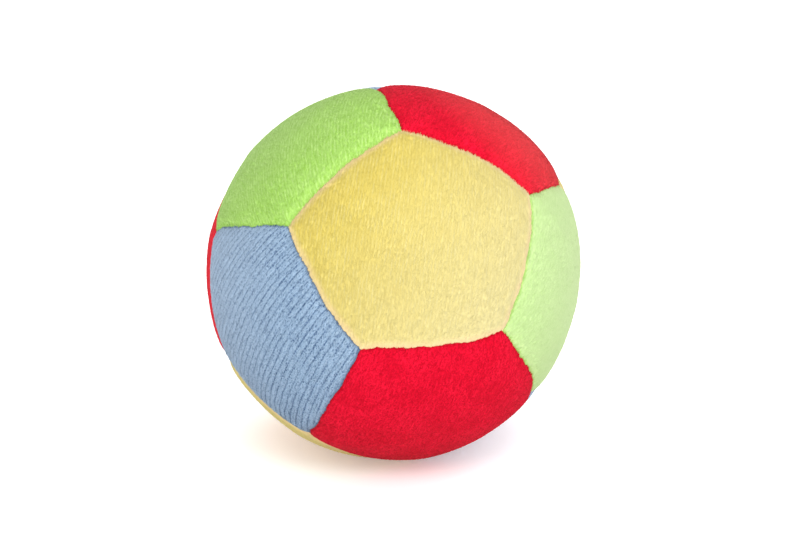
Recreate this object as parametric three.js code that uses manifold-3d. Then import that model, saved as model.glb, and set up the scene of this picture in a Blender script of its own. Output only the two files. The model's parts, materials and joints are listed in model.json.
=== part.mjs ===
// A soft rattle ball for a baby. Twelve velour pentagons are sewn into a round cover, which is stuffed
// with two fibre wads round a snap-together capsule of loose pellets.
// Millimetres, +Z up. The ball rests on the plane z = 0 at the origin, and its -Y side faces the viewer.

import * as THREE from "three";
import { mergeVertices } from "three/addons/utils/BufferGeometryUtils.js";
import Module from "manifold-3d";

// Driving dimensions of the cover
const BALL_DIAMETER = 110; // over the middles of two opposite panels
const PANEL_CROWN = 0.6; // how far the middle of a panel swells out beyond its edges
const CLOTH_THICKNESS = 1.8; // knit back with its pile
const SEAM_DIP = 1.1; // depth of the valley that a seam draws into the cover
const SEAM_ROLL = 4; // width of the rounded edge beside a seam
const SEAM_ALLOWANCE = 5; // cloth turned in along every edge of a panel
const PANEL_GAP = 0.3; // between two panels at their seam
const REST_FLAT_DEPTH = 0.5; // how far the cloth is pressed flat where the ball lies

// How the ball lies: the way the front panel looks, in degrees
const FRONT_ELEVATION = 30.1;
const FRONT_TURN = 7.8; // towards +X
const FRONT_SPIN = 4.7; // about the way it looks

// Driving dimensions of the seams' threads
const THREAD_DIAMETER = 0.5;
const THREAD_CLEARANCE = 0.2;
const STITCH_DEPTH = 1.6; // from the fold of the seam down to the stitching

// Driving dimensions of what is inside
const FILL_CLEARANCE = 0.4; // round a wad
const FILL_GAP = 0.3; // between the two wads
const CAPSULE_DIAMETER = 36;
const CAPSULE_WALL = 2;
const RIM_HEIGHT = 2.8; // of the tongue on the lower half of the capsule
const RIM_CLEARANCE = 0.3; // between the two halves of the capsule
const SNAP_BEAD = 0.25; // how far the bead on the tongue stands out
const SNAP_HEIGHT = 1.5; // of the bead above the foot of the tongue
const RING_PELLETS = 6; // round the middle one
const PELLET_DIAMETER = 5;
const PELLET_CLEARANCE = 0.45; // from the wall and from each other

// Fineness of the facets
const EDGE_STEPS = 4; // along one edge of a panel
const CROWN_SHARES = [0.6, 0.3]; // where the rings of a crown lie, from the seam (0) to the middle (1)
const ROLL_SHARE = 0.33; // where the ring of a rolled edge lies, from the seam (0) to the end of the roll (1)
const THREAD_SIDES = 4;
const CAPSULE_SIDES = 28;
const CAPSULE_STEPS = 8; // from the pole of a half shell to its rim
const PELLET_SIDES = 10;
const PELLET_RINGS = 6;
const WELD_DISTANCE = 1e-4; // between points that are one point

const wasm = await Module();
wasm.setup();

// A dodecahedron seen from its front panel: angles from that panel's middle to the other panels and corners
const FIFTH = (2 * Math.PI) / 5;
const APOTHEM = Math.atan((Math.sqrt(5) - 1) / 2); // from the middle of a panel to the middle of an edge
const NEAR_PANELS = 2 * APOTHEM;
const NEAR_CORNERS = Math.atan(Math.tan(APOTHEM) / Math.cos(FIFTH / 2));
const EDGE_ANGLE = Math.acos(Math.sqrt(5) / 3);
const MIDDLE_CORNERS = NEAR_CORNERS + EDGE_ANGLE;

const BALL_RADIUS = BALL_DIAMETER / 2;
const PANEL_REACH = BALL_RADIUS * APOTHEM; // along the cover from the middle of a panel to an edge
const HALF_GAP = PANEL_GAP / 2;

const COLOURS = { yellow: 0xf1d96a, green: 0xa3d062, red: 0xe21430, blue: 0x8fb0d2 };

// Unit vector in the ball's own frame: +Z through the front panel, +Y up and +X to the right of it.
// Fifths are counted clockwise round the front panel, from its top corner.
function aim(angle, fifths) {
  const turn = fifths * FIFTH;
  const out = Math.sin(angle);
  return new THREE.Vector3(out * Math.sin(turn), out * Math.cos(turn), Math.cos(angle));
}

const PANELS = [
  { name: "panel_front", bowl: "front", colour: "yellow", middle: aim(0, 0) },
  { name: "panel_upper_right", bowl: "front", colour: "red", middle: aim(NEAR_PANELS, 0.5) },
  { name: "panel_right", bowl: "front", colour: "green", middle: aim(NEAR_PANELS, 1.5) },
  { name: "panel_lower", bowl: "front", colour: "red", middle: aim(NEAR_PANELS, 2.5) },
  { name: "panel_left", bowl: "front", colour: "blue", middle: aim(NEAR_PANELS, 3.5) },
  { name: "panel_upper_left", bowl: "front", colour: "green", middle: aim(NEAR_PANELS, 4.5) },
  { name: "panel_top", bowl: "back", colour: "blue", middle: aim(Math.PI - NEAR_PANELS, 0) },
  { name: "panel_far_right", bowl: "back", colour: "yellow", middle: aim(Math.PI - NEAR_PANELS, 1) },
  { name: "panel_bottom_right", bowl: "back", colour: "blue", middle: aim(Math.PI - NEAR_PANELS, 2) },
  { name: "panel_bottom_left", bowl: "back", colour: "yellow", middle: aim(Math.PI - NEAR_PANELS, 3) },
  { name: "panel_far_left", bowl: "back", colour: "red", middle: aim(Math.PI - NEAR_PANELS, 4) },
  { name: "panel_back", bowl: "back", colour: "green", middle: aim(Math.PI, 0) },
];

// Corners, one ring of five after another from front to back
const FRONT_RING = [0, 1, 2, 3, 4].map((k) => aim(NEAR_CORNERS, k));
const FRONT_ENDS = [0, 1, 2, 3, 4].map((k) => aim(MIDDLE_CORNERS, k));
const BACK_ENDS = [0, 1, 2, 3, 4].map((k) => aim(Math.PI - MIDDLE_CORNERS, k + 0.5));
const BACK_RING = [0, 1, 2, 3, 4].map((k) => aim(Math.PI - NEAR_CORNERS, k + 0.5));
const CORNERS = [...FRONT_RING, ...FRONT_ENDS, ...BACK_ENDS, ...BACK_RING];

// The five corners of a panel, counter-clockwise seen from outside.
function cornersOf(panel) {
  const across = new THREE.Vector3(1, 0, 0).cross(panel.middle);
  if (across.length() < Math.sin(APOTHEM)) {
    across.set(0, 1, 0);
  }
  across.normalize();
  const along = new THREE.Vector3().crossVectors(panel.middle, across);
  const near = CORNERS.filter((corner) => corner.angleTo(panel.middle) < (APOTHEM + NEAR_PANELS) / 2);
  const turn = (corner) => Math.atan2(corner.dot(along), corner.dot(across));
  return near.sort((a, b) => turn(a) - turn(b));
}

// Radius of the cover's outside at a distance from the nearest seam: a rolled edge, then a gentle crown.
function coverRadius(fromSeam) {
  const roll = 1 - Math.min(fromSeam / SEAM_ROLL, 1);
  const fall = 1 - Math.min(fromSeam / PANEL_REACH, 1);
  return BALL_RADIUS - SEAM_DIP * (1 - Math.sqrt(1 - roll * roll)) - PANEL_CROWN * fall * fall;
}

const FOLD_RADIUS = coverRadius(HALF_GAP);
const ALLOWANCE_RADIUS = FOLD_RADIUS - SEAM_ALLOWANCE;
const STITCH_RADIUS = FOLD_RADIUS - STITCH_DEPTH;

// Points along the great circle from one corner to the next, the first included and the last left out.
function edgeAims(from, to) {
  const aims = [];
  for (let step = 0; step < EDGE_STEPS; step += 1) {
    aims.push(new THREE.Vector3().lerpVectors(from, to, step / EDGE_STEPS).normalize());
  }
  return aims;
}

// One ring of a panel: unit vectors on a smaller pentagon whose edges lie at a distance from the panel's own.
function ringAims(panel, corners, fromSeam) {
  const share = Math.tan(APOTHEM - fromSeam / BALL_RADIUS) / Math.tan(APOTHEM);
  const outline = corners.flatMap((corner, k) => edgeAims(corner, corners[(k + 1) % corners.length]));
  return outline.map((rim) => {
    const flat = rim.clone().divideScalar(rim.dot(panel.middle));
    return flat.sub(panel.middle).multiplyScalar(share).add(panel.middle).normalize();
  });
}

// Indexed geometry from a list of points and a list of triangles.
function meshOf(points, triangles) {
  const geometry = new THREE.BufferGeometry();
  geometry.setAttribute("position", new THREE.Float32BufferAttribute(points.flatMap((p) => p.toArray()), 3));
  geometry.setIndex(triangles.flat());
  return geometry;
}

// Sweeps a section round a panel's pentagon, as a lathe sweeps one round an axis. The section runs from the
// panel's outer middle round its edge to its inner middle, as [distance from the seam, radius] pairs, and
// null stands for the distance of a middle. Side walls are left out on the edges that skipsSide names.
function sweepPanel(panel, section, skipsSide = () => false) {
  const corners = cornersOf(panel);
  const points = [];
  const rings = section.map(([fromSeam, radius]) => {
    const aims = fromSeam === null ? [panel.middle] : ringAims(panel, corners, fromSeam);
    return aims.map((direction) => points.push(direction.clone().multiplyScalar(radius)) - 1);
  });
  const at = (ring, j) => ring[j % ring.length];
  const triangles = [];
  for (let i = 0; i + 1 < rings.length; i += 1) {
    const [here, next] = [rings[i], rings[i + 1]];
    const [fromSeam, nextFromSeam] = [section[i][0], section[i + 1][0]];
    const isSide = fromSeam === 0 && nextFromSeam === 0;
    const isInward = nextFromSeam === null || (fromSeam !== null && nextFromSeam > fromSeam);
    for (let j = 0; j < Math.max(here.length, next.length); j += 1) {
      if (isSide && skipsSide(corners, Math.floor(j / EDGE_STEPS))) {
        continue;
      }
      const [a, b, c, d] = [at(here, j), at(next, j), at(next, j + 1), at(here, j + 1)];
      triangles.push(...(isInward ? [[a, b, d], [d, b, c]] : [[a, b, c], [a, c, d]]));
    }
  }
  return { points, triangles: triangles.filter((corners) => new Set(corners).size === 3) };
}

// A panel's section: crowned outside, rolled edge, side wall with half of the stitching's channel, turned-in
// allowance, and the inside a cloth's thickness below.
const CHANNEL_DEPTH = THREAD_DIAMETER / 2 + THREAD_CLEARANCE - HALF_GAP;
const CROWN_RINGS = CROWN_SHARES.map((share) => share * PANEL_REACH);
const ROLL_RINGS = [SEAM_ROLL, ROLL_SHARE * SEAM_ROLL, HALF_GAP];
const ALLOWANCE_EDGE = HALF_GAP + CLOTH_THICKNESS;
const PANEL_SECTION = [
  [null, coverRadius(PANEL_REACH)],
  ...[...CROWN_RINGS, ...ROLL_RINGS].map((fromSeam) => [fromSeam, coverRadius(fromSeam)]),
  [HALF_GAP, STITCH_RADIUS + THREAD_DIAMETER],
  [HALF_GAP + CHANNEL_DEPTH, STITCH_RADIUS],
  [HALF_GAP, STITCH_RADIUS - THREAD_DIAMETER],
  [HALF_GAP, ALLOWANCE_RADIUS],
  [ALLOWANCE_EDGE, ALLOWANCE_RADIUS],
  ...[ALLOWANCE_EDGE, ...CROWN_RINGS.toReversed()].map((fromSeam) => [
    fromSeam,
    coverRadius(fromSeam) - CLOTH_THICKNESS,
  ]),
  [null, coverRadius(PANEL_REACH) - CLOTH_THICKNESS],
];

// The ball's own frame as it lies, with the cover's lowest point pressed flat on z = 0.
function restingFrame() {
  const elevation = THREE.MathUtils.degToRad(FRONT_ELEVATION);
  const turn = THREE.MathUtils.degToRad(FRONT_TURN);
  const level = Math.cos(elevation);
  const front = new THREE.Vector3(level * Math.sin(turn), -level * Math.cos(turn), Math.sin(elevation));
  const right = new THREE.Vector3(Math.cos(turn), Math.sin(turn), 0);
  const up = new THREE.Vector3().crossVectors(front, right);
  const frame = new THREE.Matrix4().makeBasis(right, up, front);
  frame.multiply(new THREE.Matrix4().makeRotationZ(THREE.MathUtils.degToRad(FRONT_SPIN)));
  const down = new THREE.Vector3(0, 0, -1).transformDirection(frame.clone().invert());
  return frame.setPosition(0, 0, coverRadius(seamDistance(down)) - REST_FLAT_DEPTH);
}

// Distance along the cover from a point of it to the nearest seam.
function seamDistance(direction) {
  const nearest = PANELS.map((panel) => panel.middle).sort((a, b) => b.dot(direction) - a.dot(direction));
  const towards = nearest[0].clone().sub(nearest[1]).normalize();
  return BALL_RADIUS * Math.asin(towards.dot(direction));
}

const RESTING_FRAME = restingFrame();
const BALL_CENTRE = new THREE.Vector3().setFromMatrixPosition(RESTING_FRAME);

// Closed mesh to solid and back, for cuts.
function solidOf(geometry) {
  const bare = geometry.clone();
  bare.deleteAttribute("normal");
  bare.deleteAttribute("uv");
  const merged = mergeVertices(bare, WELD_DISTANCE);
  const vertProperties = new Float32Array(merged.attributes.position.array);
  const triVerts = new Uint32Array(merged.index.array);
  return new wasm.Manifold(new wasm.Mesh({ numProp: 3, vertProperties, triVerts }));
}

function geometryOf(solid) {
  const mesh = solid.getMesh();
  const geometry = new THREE.BufferGeometry();
  geometry.setAttribute("position", new THREE.Float32BufferAttribute(mesh.vertProperties, mesh.numProp));
  geometry.setIndex([...mesh.triVerts]);
  return geometry;
}

// Everything under the plane that the ball lies on, in the ball's own frame.
function floorSolid() {
  const floor = new THREE.BoxGeometry(BALL_DIAMETER, BALL_DIAMETER, BALL_DIAMETER);
  floor.translate(0, 0, -BALL_RADIUS);
  return solidOf(floor.applyMatrix4(RESTING_FRAME.clone().invert()));
}

const FLOOR = floorSolid();

function namedMesh(name, geometry, material) {
  geometry.computeVertexNormals();
  const mesh = new THREE.Mesh(geometry, material);
  mesh.name = name;
  return mesh;
}

function velour(colour) {
  return new THREE.MeshStandardMaterial({ color: COLOURS[colour], roughness: 0.95, metalness: 0 });
}

const threadMaterial = new THREE.MeshStandardMaterial({ color: 0xf3efe4, roughness: 0.7, metalness: 0 });
const fibreMaterial = new THREE.MeshStandardMaterial({ color: 0xf7f6f2, roughness: 1, metalness: 0 });
const capsuleMaterial = new THREE.MeshStandardMaterial({ color: 0xeef0f0, roughness: 0.35, metalness: 0 });
const pelletMaterial = new THREE.MeshStandardMaterial({ color: 0xe9c23c, roughness: 0.3, metalness: 0 });

// A velour pentagon, pressed flat where the ball lies on it.
function coverPanel(panel) {
  const { points, triangles } = sweepPanel(panel, PANEL_SECTION);
  const pressed = solidOf(meshOf(points, triangles)).subtract(FLOOR);
  return namedMesh(panel.name, geometryOf(pressed), velour(panel.colour));
}

// A wad's section in one panel: the outside clears the cloth and the two layers of each allowance, and the
// inside is a hollow whose facets clear the capsule.
const FILL_RINGS = [...CROWN_RINGS, ALLOWANCE_EDGE + 2 * FILL_CLEARANCE];
const HOLLOW_STEP = NEAR_CORNERS / 2;
const HOLLOW_RADIUS = (CAPSULE_DIAMETER / 2 + FILL_CLEARANCE) / Math.cos(HOLLOW_STEP / 2);
const FILL_SECTION = [
  [null, coverRadius(PANEL_REACH) - CLOTH_THICKNESS - FILL_CLEARANCE],
  ...FILL_RINGS.map((fromSeam) => [fromSeam, coverRadius(fromSeam) - CLOTH_THICKNESS - FILL_CLEARANCE]),
  [ALLOWANCE_EDGE + FILL_CLEARANCE, ALLOWANCE_RADIUS - FILL_CLEARANCE],
  [0, ALLOWANCE_RADIUS - FILL_CLEARANCE],
  [0, HOLLOW_RADIUS],
  [PANEL_REACH / 2, HOLLOW_RADIUS],
  [null, HOLLOW_RADIUS],
];

// The fibre stuffed into one bowl: six panels' worth, open to each other and parted at the zigzag seam.
function fillWad(name, bowl) {
  const panels = PANELS.filter((panel) => panel.bowl === bowl);
  const isShared = (corners, edge) => {
    const ends = [corners[edge], corners[(edge + 1) % corners.length]];
    return panels.filter((panel) => ends.every((end) => cornersOf(panel).includes(end))).length > 1;
  };
  const points = [];
  const triangles = [];
  for (const panel of panels) {
    const swept = sweepPanel(panel, FILL_SECTION, isShared);
    triangles.push(...swept.triangles.map((triangle) => triangle.map((index) => index + points.length)));
    points.push(...swept.points);
  }
  const wad = namedMesh(name, mergeVertices(meshOf(points, triangles), WELD_DISTANCE), fibreMaterial);
  wad.position.z = (bowl === "front" ? 0.5 : -0.5) * FILL_GAP;
  return wad;
}

// A thread along unit vectors, at the depth of the stitching, with mitred bends. It has flat ends unless it is
// a loop.
function threadAlong(name, aims, isLoop) {
  const path = aims.map((direction) => direction.clone().multiplyScalar(STITCH_RADIUS));
  const count = path.length;
  const points = [];
  path.forEach((point, i) => {
    const before = path[isLoop ? (i + count - 1) % count : Math.max(i - 1, 0)];
    const after = path[isLoop ? (i + 1) % count : Math.min(i + 1, count - 1)];
    const along = after.clone().sub(before).normalize();
    const outward = point.clone().normalize();
    const across = new THREE.Vector3().crossVectors(outward, along).normalize();
    const isEnd = i + 1 === count && !isLoop;
    const leg = (isEnd ? point.clone().sub(before) : after.clone().sub(point)).normalize();
    const mitre = 1 / leg.dot(along);
    for (let side = 0; side < THREAD_SIDES; side += 1) {
      const turn = (2 * Math.PI * side) / THREAD_SIDES;
      const offset = outward.clone().multiplyScalar((Math.sin(turn) * THREAD_DIAMETER) / 2);
      offset.addScaledVector(across, (Math.cos(turn) * mitre * THREAD_DIAMETER) / 2);
      points.push(point.clone().add(offset));
    }
  });
  const at = (i, side) => (i % count) * THREAD_SIDES + (side % THREAD_SIDES);
  const triangles = [];
  for (let i = 0; i < (isLoop ? count : count - 1); i += 1) {
    for (let side = 0; side < THREAD_SIDES; side += 1) {
      triangles.push([at(i, side), at(i, side + 1), at(i + 1, side + 1)]);
      triangles.push([at(i, side), at(i + 1, side + 1), at(i + 1, side)]);
    }
  }
  for (let side = 1; side + 1 < THREAD_SIDES && !isLoop; side += 1) {
    triangles.push([at(0, 0), at(0, side + 1), at(0, side)]);
    triangles.push([at(count - 1, 0), at(count - 1, side), at(count - 1, side + 1)]);
  }
  return namedMesh(name, meshOf(points, triangles), threadMaterial);
}

// Unit vectors of the seam from corner to corner.
function seamAims(corners, isLoop) {
  const stops = isLoop ? [...corners, corners[0]] : corners;
  const aims = stops.slice(0, -1).flatMap((corner, k) => edgeAims(corner, stops[k + 1]));
  return isLoop ? aims : [...aims, stops.at(-1)];
}

// One edge's thread, which stops short of the threads that pass its two corners.
function edgeThread(name, from, to) {
  const aims = seamAims([from, to], false);
  const short = (THREAD_DIAMETER + PANEL_GAP) / STITCH_RADIUS / EDGE_ANGLE;
  aims[0] = new THREE.Vector3().lerpVectors(from, to, short).normalize();
  aims[aims.length - 1] = new THREE.Vector3().lerpVectors(to, from, short).normalize();
  return threadAlong(name, aims, false);
}

// The runs of thread: round and along the spokes of each bowl, then the zigzag that joins the bowls, whose
// last edge, on the far side, is closed by hand after stuffing.
function seamThreads() {
  const zigzag = FRONT_ENDS.flatMap((end, k) => [end, BACK_ENDS[k]]);
  const closing = [zigzag[1], zigzag[2]];
  const machined = [...zigzag.slice(2), ...zigzag.slice(0, 2)];
  return [
    threadAlong("thread_front_ring", seamAims(FRONT_RING, true), true),
    ...FRONT_RING.map((corner, k) => edgeThread(`thread_front_spoke_${k + 1}`, corner, FRONT_ENDS[k])),
    threadAlong("thread_back_ring", seamAims(BACK_RING, true), true),
    ...BACK_RING.map((corner, k) => edgeThread(`thread_back_spoke_${k + 1}`, corner, BACK_ENDS[k])),
    threadAlong("thread_zigzag", seamAims(machined, false), false),
    edgeThread("thread_closing_stitch", ...closing),
  ];
}

// The capsule's sizes, which its two halves and the pellets share
const CAPSULE_RADIUS = CAPSULE_DIAMETER / 2;
const CAPSULE_BORE = CAPSULE_RADIUS - CAPSULE_WALL;
const TONGUE_RADIUS = CAPSULE_RADIUS - (CAPSULE_WALL + RIM_CLEARANCE) / 2;
const SOCKET_RADIUS = TONGUE_RADIUS + RIM_CLEARANCE;

// Points of a meridian from a height up to the pole, or down from the pole to that height.
function meridian(radius, height, isDownward) {
  const start = Math.asin(height / radius);
  const arc = [];
  for (let step = 0; step <= CAPSULE_STEPS; step += 1) {
    const angle = start + ((Math.PI / 2 - start) * step) / CAPSULE_STEPS;
    arc.push([step === CAPSULE_STEPS ? 0 : radius * Math.cos(angle), radius * Math.sin(angle)]);
  }
  return isDownward ? arc.reverse() : arc;
}

// Revolves a section given as [radius, height] pairs about the upright axis.
function revolved(name, section) {
  const lathe = new THREE.LatheGeometry(section.map(([r, h]) => new THREE.Vector2(r, h)), CAPSULE_SIDES);
  lathe.rotateX(Math.PI / 2);
  return namedMesh(name, lathe, capsuleMaterial);
}

// The snap's bead on the tongue, or its groove in the socket, as [radius, height] pairs from below.
function snapBead(radius) {
  return [
    [radius, SNAP_HEIGHT - 2 * SNAP_BEAD],
    [radius + SNAP_BEAD, SNAP_HEIGHT],
    [radius, SNAP_HEIGHT + 2 * SNAP_BEAD],
  ];
}

function capsuleLower() {
  const bowl = (radius) => meridian(radius, 0, true).map(([r, h]) => [r, -h]);
  const outside = bowl(CAPSULE_RADIUS);
  const tongue = [[TONGUE_RADIUS, 0], ...snapBead(TONGUE_RADIUS), [TONGUE_RADIUS, RIM_HEIGHT]];
  const inside = [[CAPSULE_BORE, RIM_HEIGHT], ...bowl(CAPSULE_BORE).reverse()];
  return revolved("capsule_lower", [...outside, ...tongue, ...inside]);
}

function capsuleUpper() {
  const ledge = RIM_HEIGHT + RIM_CLEARANCE;
  const inside = meridian(CAPSULE_BORE, ledge, true);
  const groove = snapBead(SOCKET_RADIUS).reverse();
  const socket = [[SOCKET_RADIUS, ledge], ...groove, [SOCKET_RADIUS, RIM_CLEARANCE]];
  const outside = meridian(CAPSULE_RADIUS, RIM_CLEARANCE, false);
  return revolved("capsule_upper", [...inside, ...socket, ...outside]);
}

// Pellets lying together in the bottom of the capsule: one in the middle and a ring round it.
function pellets() {
  const orbit = CAPSULE_BORE - PELLET_DIAMETER / 2 - PELLET_CLEARANCE;
  const spacing = PELLET_DIAMETER + PELLET_CLEARANCE;
  const lean = Math.asin(spacing / 2 / Math.sin(Math.PI / RING_PELLETS) / orbit);
  const places = [new THREE.Vector3(0, 0, -orbit)];
  for (let k = 0; k < RING_PELLETS; k += 1) {
    const turn = (2 * Math.PI * k) / RING_PELLETS;
    const level = orbit * Math.sin(lean);
    places.push(new THREE.Vector3(level * Math.cos(turn), level * Math.sin(turn), -orbit * Math.cos(lean)));
  }
  return places.map((place, k) => {
    const ball = new THREE.SphereGeometry(PELLET_DIAMETER / 2, PELLET_SIDES, PELLET_RINGS);
    const pellet = namedMesh(`pellet_${k + 1}`, ball, pelletMaterial);
    pellet.position.copy(place);
    return pellet;
  });
}

const cover = new THREE.Group();
cover.applyMatrix4(RESTING_FRAME);
cover.add(...PANELS.map(coverPanel), ...seamThreads());
cover.add(fillWad("fill_front", "front"), fillWad("fill_back", "back"));

const rattle = new THREE.Group();
rattle.position.copy(BALL_CENTRE);
rattle.add(capsuleLower(), capsuleUpper(), ...pellets());

const softRattleBall = new THREE.Group();
softRattleBall.add(cover, rattle);

export default softRattleBall;
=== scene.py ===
"""Dresses the soft rattle ball: velour cover, seam stitches, fibre filling, rattle capsule and pellets.

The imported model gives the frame. Lengths are metres, +Z is up and the viewer stands at -Y.
"""

from __future__ import annotations

import json
import logging
import math
from collections.abc import Iterable, Sequence
from dataclasses import dataclass, field
from enum import Enum
from typing import Any

import bpy
import numpy as np
from mathutils import Matrix, Vector
from mathutils.bvhtree import BVHTree

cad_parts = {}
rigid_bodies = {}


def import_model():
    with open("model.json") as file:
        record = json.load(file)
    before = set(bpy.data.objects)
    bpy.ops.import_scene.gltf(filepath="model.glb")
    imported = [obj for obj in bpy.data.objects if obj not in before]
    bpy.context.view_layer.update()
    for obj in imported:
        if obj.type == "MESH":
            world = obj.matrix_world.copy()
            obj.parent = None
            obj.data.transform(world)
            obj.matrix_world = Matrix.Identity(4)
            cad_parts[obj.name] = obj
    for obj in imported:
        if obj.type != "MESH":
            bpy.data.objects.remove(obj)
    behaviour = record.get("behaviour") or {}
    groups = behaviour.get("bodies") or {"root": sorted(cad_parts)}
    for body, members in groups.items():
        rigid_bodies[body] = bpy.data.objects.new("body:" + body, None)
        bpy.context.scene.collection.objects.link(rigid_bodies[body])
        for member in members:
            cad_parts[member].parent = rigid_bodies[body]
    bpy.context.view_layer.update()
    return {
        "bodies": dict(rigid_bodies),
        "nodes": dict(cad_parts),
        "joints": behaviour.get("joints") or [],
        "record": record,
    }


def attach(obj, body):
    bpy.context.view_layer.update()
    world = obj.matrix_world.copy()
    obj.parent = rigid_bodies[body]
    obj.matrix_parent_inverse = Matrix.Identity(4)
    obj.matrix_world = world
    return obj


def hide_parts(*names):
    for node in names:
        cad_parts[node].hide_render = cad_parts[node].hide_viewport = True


LOG = logging.getLogger("rattle_ball")

MM = 0.001
FULL_TURN = 2 * math.pi
FIFTH = FULL_TURN / 5
BAKE_MAP = "OFBake"
SAME_PLACE_DIGITS = 6

TUFT_POINTS = 4
TUFT_TIP = (0.5, 0.4)
TUFT_BASE = ((0.1, 0.1), (0.9, 0.1), (0.5, 0.9))

Array = np.ndarray
Pixel = tuple[float, float]
Span = tuple[float, float]
Colour = tuple[float, float, float]

WHITE: Colour = (1.0, 1.0, 1.0)


# Node trees


class Value:
    """An output of a node, which sums and products treat as a number."""

    def __init__(self, maker: NodeMaker, socket: bpy.types.NodeSocket) -> None:
        """Keeps the socket and the tree that new nodes go to."""
        self.maker = maker
        self.socket = socket

    def out(self, name: str) -> Value:
        """Gives another output of the same node."""
        return Value(self.maker, socket_named(self.socket.node.outputs, name))

    def __add__(self, other: Number) -> Value:
        """Adds."""
        return self.maker.math("ADD", self, other)

    def __radd__(self, other: Number) -> Value:
        """Adds to a number."""
        return self.maker.math("ADD", other, self)

    def __sub__(self, other: Number) -> Value:
        """Subtracts."""
        return self.maker.math("SUBTRACT", self, other)

    def __rsub__(self, other: Number) -> Value:
        """Subtracts from a number."""
        return self.maker.math("SUBTRACT", other, self)

    def __mul__(self, other: Number) -> Value:
        """Multiplies."""
        return self.maker.math("MULTIPLY", self, other)

    def __rmul__(self, other: Number) -> Value:
        """Multiplies a number."""
        return self.maker.math("MULTIPLY", other, self)

    def __truediv__(self, other: Number) -> Value:
        """Divides."""
        return self.maker.math("DIVIDE", self, other)

    def __pow__(self, other: Number) -> Value:
        """Raises to a power."""
        return self.maker.math("POWER", self, other)


Number = Value | float


def socket_named(sockets: Iterable[bpy.types.NodeSocket], name: str) -> bpy.types.NodeSocket:
    """Finds a socket by its identifier, because names repeat on one node.

    Args:
        sockets: A node's inputs or outputs.
        name: The socket's identifier.

    Returns:
        The socket.
    """
    return next(socket for socket in sockets if socket.identifier == name)


def opaque(colour: Value | Colour) -> Any:
    """Adds the fourth number that sockets take to a plain colour, and leaves a node's output as it is."""
    return colour if isinstance(colour, Value) else (*colour, 1.0)


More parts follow.
